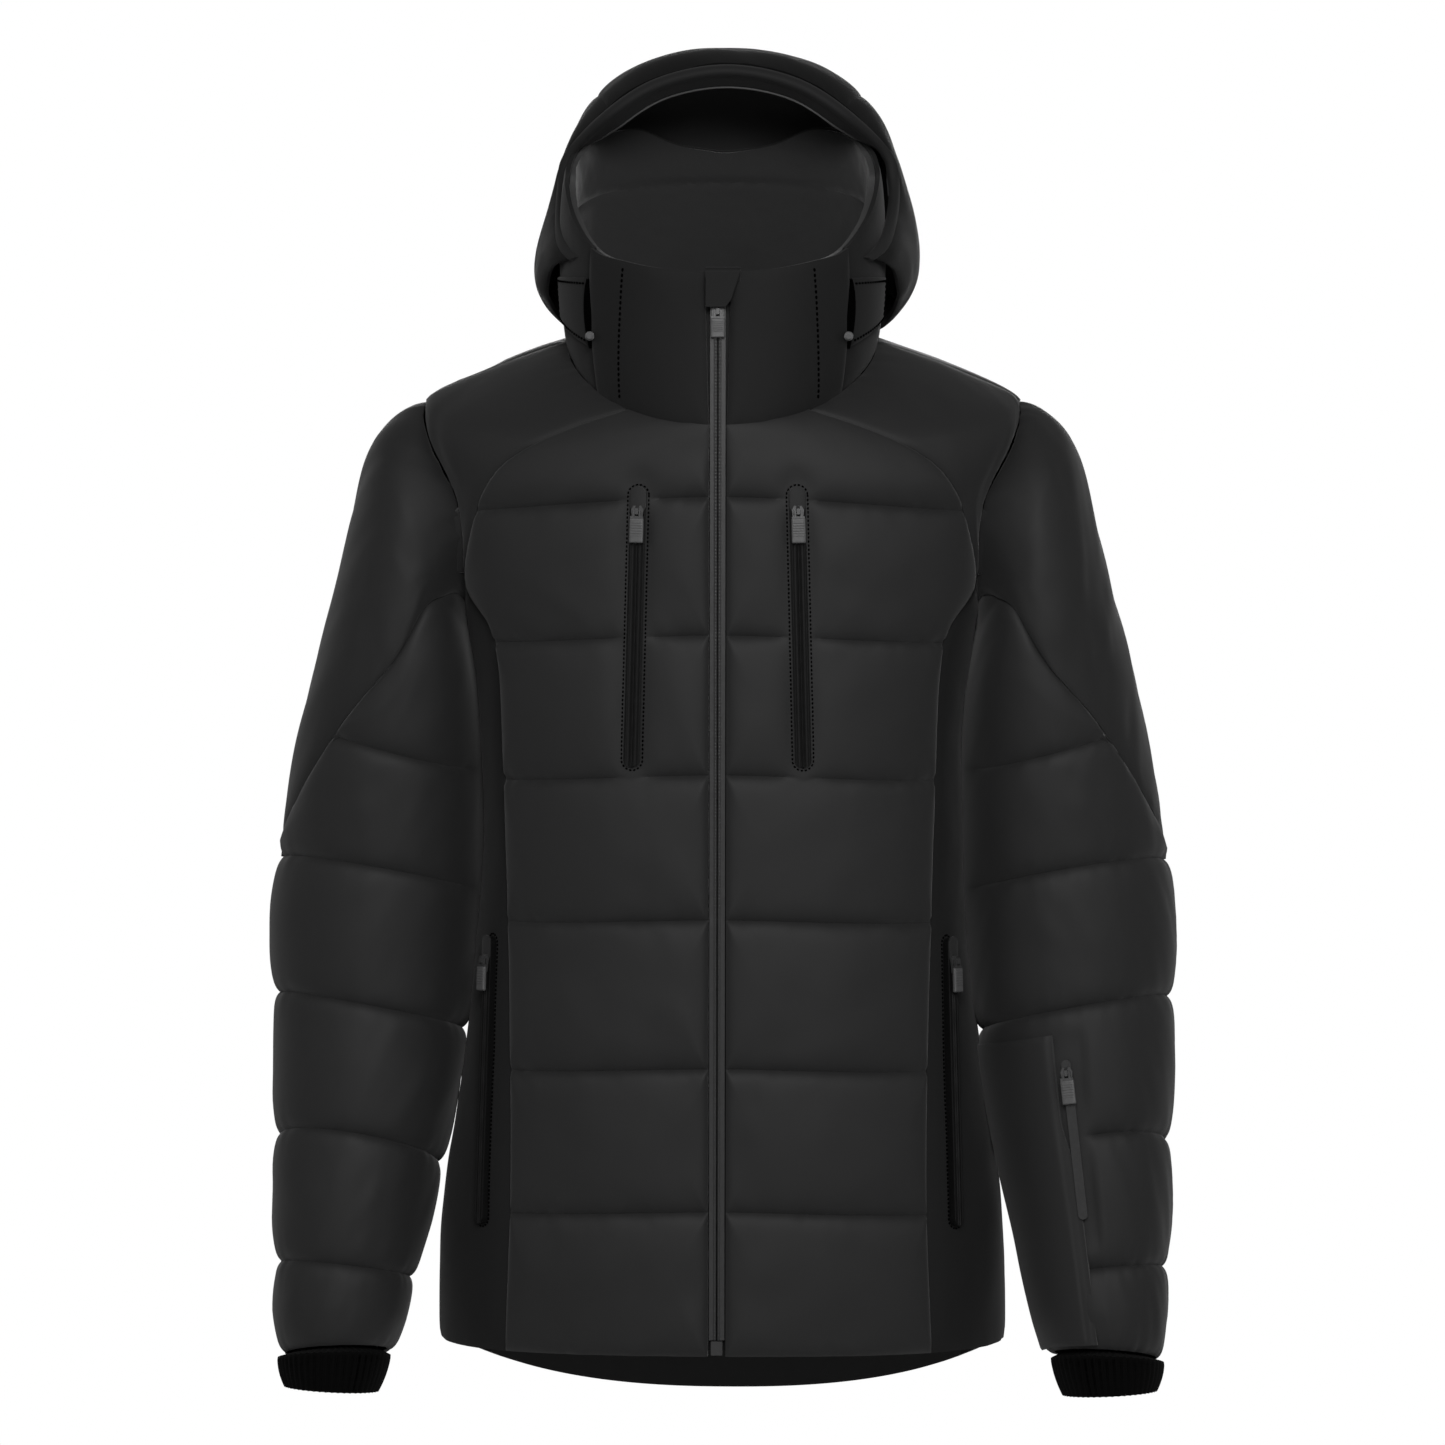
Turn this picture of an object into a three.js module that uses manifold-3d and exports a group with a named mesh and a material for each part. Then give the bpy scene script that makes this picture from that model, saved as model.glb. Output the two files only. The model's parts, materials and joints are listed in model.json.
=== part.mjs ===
// Insulated ski jacket, size M, closed and shaped as if worn. Millimetres, +Z up, the front faces -Y,
// the wearer's left is +X. The origin is the underside of the hanger loop at the back of the neck.
import * as THREE from "three";
import { mergeVertices } from "three/addons/utils/BufferGeometryUtils.js";
import Module from "manifold-3d";

const wasm = await Module();
wasm.setup();

// ---- Driving dimensions -----------------------------------------------------------------------
const LOOP_HEIGHT = 760; // hanger loop above the front hem
const ZIP_FRONT_AT_HEM = -156; // y of the centre front at the hem
const ZIP_LEAN = 0.0484; // how far the centre front leans back for each millimetre up
const ZIP_TOP = 772; // top stop of the main zip, above the front hem
const NECK = 733; // ring level of the neck seam
const ARMHOLE = { middle: 611, halfHeight: 76, halfAngle: 23 }; // on the torso: ring level and degrees
const SHELL = 6; // padded shell panel, thickness
const SLEEVE_SHELL = 5;
const HOOD_SHELL = 3;
const COLLAR_SHELL = 4;
const FABRIC = 1.5; // lining, skirt and gaiter thickness
const LINING_DEPTH = 11.5; // torso lining below the shell's outer face
const POCKET_DEPTH = 8; // pocket bags, between shell and lining
const SEAM_GAP = 0.6; // between neighbouring panels
const ZIP_GAP = 6.2; // half the space between the two fronts, which the main zip fills

const BLACK_FABRIC = { color: 0x1b1b1c, roughness: 0.72, metalness: 0 };
const LINING_FABRIC = { color: 0x161617, roughness: 0.8, metalness: 0 };
const FLEECE = { color: 0x232324, roughness: 0.95, metalness: 0 };
const STRETCH_KNIT = { color: 0x050505, roughness: 0.9, metalness: 0 };
const COATED_TAPE = { color: 0x222224, roughness: 0.35, metalness: 0 };
const GUNMETAL = { color: 0x5c5c5f, roughness: 0.32, metalness: 0.9 };
const MOULDED = { color: 0x2c2c2e, roughness: 0.45, metalness: 0 };

const DEG = Math.PI / 180;
const lerp = (a, b, t) => a + (b - a) * t;
const clamp = (x, low, high) => Math.min(high, Math.max(low, x));

// ---- Smooth curves and solids from sheets --------------------------------------------------------

// A smooth function through (knots[i], values[i]): cubic pieces whose slopes are the slopes of the chords.
function through(knots, values) {
  const n = knots.length;
  const slope = knots.map((_, i) => {
    const a = Math.max(0, i - 1);
    const b = Math.min(n - 1, i + 1);
    return (values[b] - values[a]) / (knots[b] - knots[a]);
  });
  return (x) => {
    const s = clamp(x, knots[0], knots[n - 1]);
    let i = 0;
    while (i < n - 2 && s > knots[i + 1]) i++;
    const h = knots[i + 1] - knots[i];
    const t = (s - knots[i]) / h;
    const t2 = t * t;
    const t3 = t2 * t;
    return (
      (2 * t3 - 3 * t2 + 1) * values[i] +
      (t3 - 2 * t2 + t) * h * slope[i] +
      (3 * t2 - 2 * t3) * values[i + 1] +
      (t3 - t2) * h * slope[i + 1]
    );
  };
}

const power = (x, p) => Math.sign(x) * Math.abs(x) ** p;

// Moves a surface point along the surface's outward normal. surface(i, j) gives a THREE.Vector3.
function offsetPoint(surface, i, j, depth, di, dj) {
  const p = surface(i, j);
  if (depth === 0) return p;
  const along = surface(i + di, j).sub(surface(i - di, j));
  const across = surface(i, j + dj).sub(surface(i, j - dj));
  return p.addScaledVector(along.cross(across).normalize(), depth);
}

// A closed solid between two sheets. at(u, v, layer) gives a point for u and v from 0 to 1, where layer
// 0 is the outer sheet and 1 the inner one. A ring closes on itself in u.
function sheetSolid(at, nu, nv, ring = false) {
  const columns = ring ? nu : nu + 1;
  const position = [];
  for (const layer of [0, 1])
    for (let j = 0; j <= nv; j++)
      for (let i = 0; i < columns; i++) position.push(...at(i / nu, j / nv, layer).toArray());
  const index = [];
  const id = (layer, i, j) => layer * columns * (nv + 1) + j * columns + (i % columns);
  const quad = (a, b, c, d) => index.push(a, b, c, a, c, d);
  for (let j = 0; j < nv; j++)
    for (let i = 0; i < nu; i++) {
      quad(id(0, i, j), id(0, i + 1, j), id(0, i + 1, j + 1), id(0, i, j + 1));
      quad(id(1, i, j), id(1, i, j + 1), id(1, i + 1, j + 1), id(1, i + 1, j));
    }
  for (let i = 0; i < nu; i++) {
    quad(id(0, i, 0), id(1, i, 0), id(1, i + 1, 0), id(0, i + 1, 0));
    quad(id(0, i, nv), id(0, i + 1, nv), id(1, i + 1, nv), id(1, i, nv));
  }
  if (!ring)
    for (let j = 0; j < nv; j++) {
      quad(id(0, 0, j), id(0, 0, j + 1), id(1, 0, j + 1), id(1, 0, j));
      quad(id(0, nu, j), id(1, nu, j), id(1, nu, j + 1), id(0, nu, j + 1));
    }
  return facingOut(position, index);
}

// Builds the geometry, turning every face round if the solid came out inside out.
function facingOut(position, index) {
  let volume = 0;
  const p = (k) => new THREE.Vector3().fromArray(position, 3 * k);
  for (let k = 0; k < index.length; k += 3)
    volume += p(index[k]).dot(p(index[k + 1]).cross(p(index[k + 2])));
  if (volume < 0)
    for (let k = 0; k < index.length; k += 3) [index[k + 1], index[k + 2]] = [index[k + 2], index[k + 1]];
  const geometry = new THREE.BufferGeometry();
  geometry.setAttribute("position", new THREE.Float32BufferAttribute(position, 3));
  geometry.setIndex(index);
  return geometry;
}

// Joins closed geometries into one solid.
function joined(geometries) {
  const solids = geometries.map((g) => {
    const bare = g.clone();
    bare.deleteAttribute("normal");
    bare.deleteAttribute("uv");
    const merged = mergeVertices(bare, 1e-4);
    return new wasm.Manifold(
      new wasm.Mesh({
        numProp: 3,
        vertProperties: merged.attributes.position.array,
        triVerts: new Uint32Array(merged.index.array),
      }),
    );
  });
  const mesh = solids.reduce((whole, next) => whole.add(next)).getMesh();
  const geometry = new THREE.BufferGeometry();
  geometry.setAttribute("position", new THREE.BufferAttribute(mesh.vertProperties, 3));
  geometry.setIndex(new THREE.BufferAttribute(mesh.triVerts, 1));
  return geometry;
}

const box = (x0, x1, y0, y1, z0, z1) =>
  new THREE.BoxGeometry(x1 - x0, y1 - y0, z1 - z0).translate((x0 + x1) / 2, (y0 + y1) / 2, (z0 + z1) / 2);

// ---- The torso's surface --------------------------------------------------------------------------
// Rings from the hem to the neck. Each column: ring level, half width, back depth, the heights above the
// front hem of its front, side and back, and the power that squares its corners (1 is an ellipse).
const TORSO_RINGS = [
  [-10, 212, 150, 0, -12, -80, 0.86],
  [90, 208, 146, 92, 90, 86, 0.84],
  [200, 192, 138, 200, 200, 200, 0.82],
  [330, 178.6, 128, 330, 330, 330, 0.8],
  [440, 177.6, 131, 440, 440, 440, 0.8],
  [510, 185.5, 137, 505, 510, 512, 0.8],
  [570, 198, 140, 560, 570, 575, 0.82],
  [620, 207, 138, 602, 620, 632, 0.86],
  [686, 221, 122, 648, 687, 694, 1.0],
  [711, 170, 104, 664, 713, 725, 1.0],
  [NECK, 115, 84, 676, 733, 748, 1.0],
];
const ringValue = (k) =>
  through(
    TORSO_RINGS.map((r) => r[0]),
    TORSO_RINGS.map((r) => r[k]),
  );
const [halfWidth, backDepth, frontHeight, sideHeight, backHeight, corner] = [1, 2, 3, 4, 5, 6].map(ringValue);
const FRONT_DIP = 1.2; // how roundly a ring's height runs from its side to its front or back

const zipY = (height) => ZIP_FRONT_AT_HEM + ZIP_LEAN * height;

// The torso's outer face at an angle from the centre front (90 is the wearer's left side) and a ring level.
function torso(angle, level) {
  const s = Math.sin(angle * DEG);
  const c = Math.cos(angle * DEG);
  const p = corner(level);
  const side = sideHeight(level);
  const end = c > 0 ? frontHeight(level) : backHeight(level);
  const height = side + (end - side) * Math.abs(c) ** FRONT_DIP;
  const depth = c > 0 ? zipY(height) : backDepth(level);
  return new THREE.Vector3(halfWidth(level) * power(s, p), depth * Math.abs(c) ** p, height - LOOP_HEIGHT);
}
const torsoAt = (angle, level, depth) => offsetPoint(torso, angle, level, -depth, 0.05, 0.2);

// The angle on a ring at which the torso is x wide.
const angleAt = (x, level) => Math.asin(clamp(x / halfWidth(level), 0, 1) ** (1 / corner(level))) / DEG;

// The torso level whose front at half width x has that height above the front hem.
function levelAt(x, height) {
  let low = -10;
  let high = NECK;
  for (let k = 0; k < 40; k++) {
    const mid = (low + high) / 2;
    if (torso(angleAt(x, mid), mid).z + LOOP_HEIGHT < height) low = mid;
    else high = mid;
  }
  return (low + high) / 2;
}

// Half the armhole's opening in degrees at a ring level, 0 below and above it.
function armholeAngle(level) {
  const t = (level - ARMHOLE.middle) / ARMHOLE.halfHeight;
  return Math.abs(t) < 1 ? ARMHOLE.halfAngle * Math.sqrt(1 - t * t) : 0;
}

// Seam between the quilted front and the side panel, and above the armpit between front and yoke:
// half width and height above the front hem, from the hem up to the neck seam.
const SIDE_SEAM = [
  [157, -4],
  [153, 98],
  [153, 204],
  [155, 306],
  [158, 409],
  [161, 489],
  [168, 525],
  [187, 557],
];
const YOKE_SEAM = [
  [187, 557],
  [180, 605],
  [170, 630],
  [154, 648],
  [128, 663],
  [98, 675],
  [64, 686],
];
const along = (points) => {
  const knots = points.map((_, i) => i / (points.length - 1));
  const x = through(knots, points.map((q) => q[0]));
  const y = through(knots, points.map((q) => q[1]));
  return (t) => [x(t), y(t)];
};
const sideSeam = along(SIDE_SEAM);
const yokeSeam = along(YOKE_SEAM);
const seamWidth = through(
  SIDE_SEAM.map((q) => q[1]),
  SIDE_SEAM.map((q) => q[0]),
);
// Angle of the seam between side panel and back, by ring level: it bends to the armhole under the arm.
const backEdge = through([-10, 470, 520, 559], [122, 121, 115.5, 107.8]);
const BACK_YOKE = 600; // ring level of the back yoke seam
const UNDERARM = ARMHOLE.middle - ARMHOLE.halfHeight;

// Angle of the side panel's front edge at a ring level.
const frontEdge = (level) => angleAt(seamWidth(level), level);

// ---- Torso panels ---------------------------------------------------------------------------------

const root = new THREE.Group();
const finish = (kind) => new THREE.MeshStandardMaterial(kind);

function add(name, geometry, kind, parent = root) {
  const mesh = new THREE.Mesh(geometry, finish(kind));
  mesh.name = name;
  parent.add(mesh);
  return mesh;
}

const mirrored = (point, side) => point.setX(side * point.x);
const SIDES = [
  ["left", 1],
  ["right", -1],
];

// A panel of the torso between two depths, from the angles and levels that place(u, v) gives.
function torsoPanel(place, nu, nv, outer, inner, side = 1) {
  return sheetSolid(
    (u, v, layer) => {
      const [angle, level] = place(u, v, layer);
      return mirrored(torsoAt(angle, level, layer ? inner : outer), side);
    },
    nu,
    nv,
  );
}

// Quilted front: from the main zip to the side seam, and up to the yoke seam and the neck.
const MITRE = 2; // degrees by which a yoke's inner face stops short of the armhole
const SHOULDER_LEVEL = 688.5; // where the shoulder seam meets the armhole
const FRONT_SPLIT = 0.78; // share of the panel's length below the armpit
function frontPlace(u, v) {
  const below = v < FRONT_SPLIT;
  const t = below ? v / FRONT_SPLIT : (v - FRONT_SPLIT) / (1 - FRONT_SPLIT);
  const [xOut, hOut] = below ? sideSeam(t) : yokeSeam(t);
  const hIn = below ? lerp(0, 556, t) : lerp(556, 675, t);
  const x = lerp(ZIP_GAP, xOut - SEAM_GAP, u);
  const level = levelAt(x, lerp(hIn, hOut - (below ? 0 : SEAM_GAP), u ** 1.5));
  return [angleAt(x, level), level];
}

// Yoke: from the yoke seam up to the shoulder seam, and from the armhole to the neck. Its first row runs
// round the armhole, and the next ones bow less and less until they are straight.
const ARMPIT_TURN = 0.78; // radians round the armhole, from its lowest point to the yoke's lower corner
const BOW_LENGTH = 1.6; // how fast the bow fades from row to row
function yokePlace(u, v, layer) {
  const [x, h] = yokeSeam(v);
  const level = levelAt(x + SEAM_GAP, h + SEAM_GAP);
  const rise = (Math.cos(ARMPIT_TURN) - Math.cos(lerp(ARMPIT_TURN, Math.PI, u))) / (1 + Math.cos(ARMPIT_TURN));
  const armpit = levelAt(...YOKE_SEAM[0]);
  const shoulder = 90 - SEAM_GAP / 2;
  const row = (angle, low, high) => [lerp(angle, shoulder, rise), lerp(low, high, rise)];
  const [straight, middle] = row(angleAt(x + SEAM_GAP, level), level, lerp(SHOULDER_LEVEL, NECK - 2, v));
  const [rimStraight, rim] = row(angleAt(YOKE_SEAM[0][0], armpit), armpit, SHOULDER_LEVEL);
  const edge = 90 - armholeAngle(rim) - 2 * SEAM_GAP - layer * MITRE;
  const bow = u > 0 ? Math.max(0, rimStraight - edge) : 0;
  return [straight - bow * clamp(1 - BOW_LENGTH * v, 0, 1), middle];
}

function sidePlace(u, v) {
  const nominal = lerp(-8, 556, v);
  const angle = lerp(frontEdge(nominal) + SEAM_GAP / 3, backEdge(nominal) - SEAM_GAP / 3, u);
  const away = Math.abs(angle - 90) / ARMHOLE.halfAngle;
  const rim = ARMHOLE.middle - ARMHOLE.halfHeight * Math.sqrt(Math.max(0, 1 - away * away)) - 1;
  return [angle, Math.min(nominal, lerp(-8, rim, v))];
}

// its rows up to the armpit are those of the side panels, so that the two seams' edges match
const backPlace = (u, v) => {
  const level = v < 0.9 ? lerp(-8, 556, v / 0.9) : lerp(556, BACK_YOKE - SEAM_GAP, (v - 0.9) * 10);
  const edge = level < 559 ? backEdge(level) : 90 + armholeAngle(level) + SEAM_GAP;
  return [lerp(edge + SEAM_GAP / 3, 360 - edge - SEAM_GAP / 3, u), level];
};

const backYokePlace = (u, v, layer) => {
  const level = lerp(BACK_YOKE + SEAM_GAP, NECK - 2, v);
  const edge = 90 + armholeAngle(level) + SEAM_GAP + layer * MITRE;
  return [lerp(edge, 360 - edge, u), level];
};

for (const [word, side] of SIDES) {
  add(`front_panel_${word}`, torsoPanel(frontPlace, 8, 12, 0, SHELL, side), BLACK_FABRIC);
  add(`front_yoke_${word}`, torsoPanel(yokePlace, 8, 6, 0, SHELL, side), BLACK_FABRIC);
  add(`side_panel_${word}`, torsoPanel(sidePlace, 6, 9, 0, SHELL, side), BLACK_FABRIC);
}
add("back_panel", torsoPanel(backPlace, 12, 10, 0, SHELL), BLACK_FABRIC);
add("back_yoke", torsoPanel(backYokePlace, 12, 5, 0, SHELL), BLACK_FABRIC);

// ---- Lining, pocket bags and snow skirt --------------------------------------------------------------

const LINING_HEM = 8;
const LINING_TOP = 722;
function liningFrontPlace(u, v) {
  const level = lerp(LINING_HEM, LINING_TOP, v);
  const edge = Math.min(89.6, 89.8 - armholeAngle(level) - 1);
  return [lerp(angleAt(ZIP_GAP + 2, level), edge, u), level];
}
function liningBackPlace(u, v) {
  const level = lerp(LINING_HEM, LINING_TOP, v);
  const edge = Math.max(90.4, 91.2 + armholeAngle(level));
  return [lerp(edge, 360 - edge, u), level];
}
// A pocket bag: a flat pouch hanging from its zip, rounded by the body it lies on.
function pocketPlace(x0, x1, h0, h1) {
  return (u, v) => {
    const x = lerp(x0, x1, u);
    const level = levelAt(x, lerp(h0, h1, v));
    return [angleAt(x, level), level];
  };
}
// The skirt hangs from the lining and draws in to the wearer's hips at its elastic edge.
const SKIRT_TOP = 205;
const SKIRT_EDGE = 95;
const SKIRT_IN = 34;
function skirt(u, v, layer) {
  const level = lerp(SKIRT_EDGE, SKIRT_TOP, v);
  const start = angleAt(ZIP_GAP + 3, level) + 3;
  const depth = LINING_DEPTH + FABRIC + 1.6 + SKIRT_IN * (1 - v) ** 0.7;
  return torsoAt(lerp(start, 360 - start, u), level, depth + layer * FABRIC);
}

for (const [word, side] of SIDES) {
  const lined = (place, nu, nv) => torsoPanel(place, nu, nv, LINING_DEPTH, LINING_DEPTH + FABRIC, side);
  add(`lining_front_${word}`, lined(liningFrontPlace, 9, 10), LINING_FABRIC);
  const bag = (place) => torsoPanel(place, 5, 6, POCKET_DEPTH, POCKET_DEPTH + FABRIC, side);
  add(`chest_pocket_${word}`, bag(pocketPlace(30, 125, 420, 610)), LINING_FABRIC);
  add(`hand_pocket_${word}`, bag(pocketPlace(50, 142, 80, 290)), LINING_FABRIC);
}
add("lining_back", torsoPanel(liningBackPlace, 16, 10, LINING_DEPTH, LINING_DEPTH + FABRIC), LINING_FABRIC);
add("snow_skirt", sheetSolid(skirt, 24, 2), LINING_FABRIC);

// ---- Collar ---------------------------------------------------------------------------------------
// Heights above the front hem of the collar's top edge, by angle from the centre front.
const RIM_HEIGHT = through(
  [0, 30, 48, 70, 90, 110, 128, 146, 164, 180],
  [785, 787, 795, 815, 838, 861, 877, 888, 882, 877],
);
const RIM_WIDTH = 117;
const RIM_BACK = 80;
const COLLAR_SWELL = 4; // outward bow of the standing collar at mid height

// The collar's outer face: t is 0 at the neck seam and 1 at the top edge.
function collar(angle, t) {
  const folded = Math.abs(((angle + 540) % 360) - 180);
  const c = Math.cos(angle * DEG);
  const s = Math.sin(angle * DEG);
  const low = torso(angle, NECK);
  const height = RIM_HEIGHT(folded);
  const front = zipY(height);
  const rim = new THREE.Vector3(
    RIM_WIDTH * power(s, 0.88),
    (c > 0 ? front : -RIM_BACK) * power(c, 0.88),
    height - LOOP_HEIGHT,
  );
  const point = low.lerp(rim, t);
  const swell = COLLAR_SWELL * 4 * t * (1 - t) * s * s;
  return point.add(new THREE.Vector3(swell * Math.sign(s), 0, 0));
}
const collarAt = (angle, t, depth) => offsetPoint(collar, angle, t, -depth, 0.05, 0.002);
const COLLAR_SPLIT = 50; // angle of the seam behind the front collar panel
const collarAngle = (x) => Math.asin((x / 115) ** (1 / 0.94)) / DEG;

function collarPanel(from, to, t0, t1, nu, nv, outer, inner, side = 1) {
  return sheetSolid(
    (u, v, layer) => mirrored(collarAt(lerp(from, to, u), lerp(t0, t1, v), layer ? inner : outer), side),
    nu,
    nv,
  );
}
const ZIP_EDGE = collarAngle(ZIP_GAP + 1);
const FLEECE_DEPTH = 5.5;
const FLEECE_THICK = 3;
for (const [word, side] of SIDES)
  add(
    `collar_front_${word}`,
    collarPanel(ZIP_EDGE, COLLAR_SPLIT - SEAM_GAP, 0.012, 1, 5, 4, 0, COLLAR_SHELL, side),
    BLACK_FABRIC,
  );
add(
  "collar_back",
  collarPanel(COLLAR_SPLIT, 360 - COLLAR_SPLIT, 0.012, 1, 16, 4, 0, COLLAR_SHELL),
  BLACK_FABRIC,
);
add(
  "collar_lining",
  collarPanel(ZIP_EDGE + 1, 359 - ZIP_EDGE, 0.03, 1, 22, 4, FLEECE_DEPTH, FLEECE_DEPTH + FLEECE_THICK),
  FLEECE,
);

// Tabs on the collar's sides that hold the hood's cord locks.
for (const [word, side] of SIDES)
  add(
    `collar_tab_${word}`,
    sheetSolid(
      (u, v, layer) => {
        const angle = lerp(COLLAR_SPLIT + 2, 76, u);
        const t = lerp(lerp(0.2, 0.36, u), 0.62, v);
        return mirrored(collarAt(angle, t, layer ? -0.7 : -2.3), side);
      },
      4,
      3,
    ),
    BLACK_FABRIC,
  );

// Cord lock: a small barrel with a button, lying in the slit in front of each tab.
const LOCK = { radius: 3.4, length: 13, angle: 47.6, t: 0.42 };
function cordLock() {
  const profile = [
    [0, 0],
    [LOCK.radius, 0],
    [LOCK.radius, LOCK.length * 0.62],
    [LOCK.radius * 0.62, LOCK.length * 0.62],
    [LOCK.radius * 0.62, LOCK.length],
    [0, LOCK.length],
  ].map((q) => new THREE.Vector2(...q));
  return new THREE.LatheGeometry(profile, 12).rotateX(Math.PI / 2).translate(0, 0, -LOCK.length / 2);
}
for (const [word, side] of SIDES) {
  const lock = add(`cord_lock_${word}`, cordLock().rotateX(Math.PI / 2), MOULDED);
  lock.position.copy(mirrored(collarAt(LOCK.angle, LOCK.t, -LOCK.radius - 3.4), side));
}

// Hanger loop: a woven bar on two feet behind the neck. A hook bears on its underside, at the origin.
const LOOP = { span: 50, width: 6, thick: 1.6, drop: 14, foot: 5, y: 63, reach: 69.6 };
const half = LOOP.width / 2;
const loopBar = box(-LOOP.span / 2 - LOOP.thick, LOOP.span / 2 + LOOP.thick, -half, half, 0, LOOP.thick);
const loopFeet = [-1, 1].flatMap((s) => {
  const x = [s * (LOOP.span / 2), s * (LOOP.span / 2 + LOOP.thick)].sort((a, b) => a - b);
  return [
    box(...x, -half, half, -LOOP.drop, 0.5),
    box(...x, half - 1, LOOP.reach - LOOP.y, -LOOP.drop, -LOOP.drop + LOOP.foot),
  ];
});
add("hanger_loop", joined([loopBar, ...loopFeet]), MOULDED);

// ---- Hood -----------------------------------------------------------------------------------------
// A net of control points over the hood's left half. Each row is a hoop from the crown down to the collar's
// side; the first row is the front edge and the last the seam behind the neck. Heights are above the hem.
const HOOD_NET = [
  [[0, -14, 932], [52, -12, 922], [92, -6, 898], [119, 2, 862], [126, -18, 826], [110, -64, 799]],
  [[0, 25, 947], [58, 24, 938], [103, 28, 909], [129, 33, 866], [136, 10, 820], [121, -43, 792]],
  [[0, 78, 945], [62, 77, 935], [110, 77, 905], [138, 74, 862], [149, 50, 812], [130, -18, 783]],
  [[0, 130, 908], [62, 124, 896], [112, 112, 870], [144, 100, 838], [155, 76, 798], [133, 6, 771]],
  [[0, 158, 850], [62, 150, 844], [114, 133, 828], [145, 112, 808], [153, 86, 781], [134, 28, 760]],
  [[0, 152, 792], [60, 143, 788], [108, 122, 780], [135, 98, 772], [140, 76, 764], [132, 44, 753]],
  [[0, 100, 756], [44, 95, 755], [80, 83, 752], [106, 66, 749], [122, 52, 746], [127, 50, 745]],
];
const cubic = (p, t) => {
  const [a, b, c, d] = p;
  return b + 0.5 * t * (c - a + t * (2 * a - 5 * b + 4 * c - d + t * (3 * (b - c) + d - a)));
};
// Smooth value of a row of points at a position along it; before the first it mirrors, after the last it goes on.
function rowValue(row, x, mirror) {
  const n = row.length;
  const s = clamp(x, 0, 1) * (n - 1);
  const i = Math.min(n - 2, Math.floor(s));
  const get = (k) => {
    if (k < 0) return mirror ? mirror(row[1]) : 2 * row[0] - row[1];
    return k > n - 1 ? 2 * row[n - 1] - row[n - 2] : row[k];
  };
  return cubic([get(i - 1), get(i), get(i + 1), get(i + 2)], s - i);
}
// The hood's outer face: u from -1 (wearer's right) over the crown to 1, v from the front edge to the neck.
function hood(u, v) {
  const side = u < 0 ? -1 : 1;
  const [x, y, z] = [0, 1, 2].map((axis) => {
    const mirror = (value) => (axis === 0 ? -value : value);
    const column = HOOD_NET.map((row) =>
      rowValue(
        row.map((q) => q[axis]),
        Math.abs(u),
        mirror,
      ),
    );
    return rowValue(column, v, null);
  });
  return new THREE.Vector3(side * x, y, z - LOOP_HEIGHT);
}
function hoodAt(u, v, depth) {
  const clamped = clamp(v, 0.004, 0.996);
  const p = hood(u, v);
  const inside = clamp(u, -0.995, 0.995);
  const across = hood(inside + 0.004, clamped).sub(hood(inside - 0.004, clamped));
  const back = hood(inside, clamped + 0.003).sub(hood(inside, clamped - 0.003));
  return p.addScaledVector(back.cross(across).normalize(), depth);
}
// which way the normal points is settled here: out of the hood
const outward = hoodAt(0, 0.6, 1).y > hood(0, 0.6).y ? 1 : -1;
const hoodPanel = (u0, u1, v0, v1, nu, nv, outer, inner) =>
  sheetSolid((a, b, layer) => hoodAt(lerp(u0, u1, a), lerp(v0, v1, b), -outward * (layer ? inner : outer)), nu, nv);
const HOOD_SEAM = 0.38; // where the centre panel meets the side panels
const BRIM = 0.05;
add("hood_centre", hoodPanel(-HOOD_SEAM, HOOD_SEAM, BRIM, 1, 8, 12, 0, HOOD_SHELL), BLACK_FABRIC);
for (const [word, side] of SIDES)
  add(
    `hood_side_${word}`,
    hoodPanel(side * (HOOD_SEAM + 0.005), side * 1, BRIM, 1, 8, 12, 0, HOOD_SHELL),
    BLACK_FABRIC,
  );
add("hood_brim", hoodPanel(-1, 1, 0, BRIM - 0.008, 20, 1, 0, HOOD_SHELL + 1), BLACK_FABRIC);
const LINING_EDGE = 0.76; // the lining stops where the side panels pass outside the collar
const hoodLining = hoodPanel(-LINING_EDGE, LINING_EDGE, BRIM, 0.9, 16, 12, HOOD_SHELL + 3, HOOD_SHELL + 4.5);
add("hood_lining", hoodLining, LINING_FABRIC);

// ---- Sleeves --------------------------------------------------------------------------------------
// Rings from the armhole to the cuff. Each row: the outer point and the inner point (half width and height
// above the front hem), the ring's middle in y, its half depth, and how far its front is lifted.
const SLEEVE_RINGS = [
  [221, 687, 195, 536, 2, 66, 0],
  [243, 679, 192, 523, 2, 73, 0],
  [261, 650, 189.5, 511, 2, 78, 0],
  [273, 608, 187, 498, 1, 80, 0],
  [285, 560, 184, 481, 0, 81, 0],
  [299, 508, 181, 457, 0, 81, 0],
  [311, 456, 179.5, 420, 0, 80, 0],
  [321, 405, 179.5, 375, 1, 79, 0],
  [330, 350, 181, 325, 1, 78, 0],
  [336, 295, 186, 268, -2, 77, 0.04],
  [337, 240, 193, 215, -10, 75, 0.1],
  [336, 185, 201, 165, -21, 70, 0.16],
  [335, 130, 212, 112, -33, 64, 0.2],
  [334, 75, 224, 62, -45, 58, 0.23],
  [333, 25, 234, 18, -55, 53, 0.26],
  [330, -18, 243, -14, -62, 49, 0.28],
];
const RINGS = SLEEVE_RINGS.length - 1;
const sleeveValue = [0, 1, 2, 3, 4, 5, 6].map((k) =>
  through(
    SLEEVE_RINGS.map((_, i) => i),
    SLEEVE_RINGS.map((r) => r[k]),
  ),
);
const BLEND_RINGS = 1.7; // rings over which the sleeve grows out of the armhole
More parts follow.
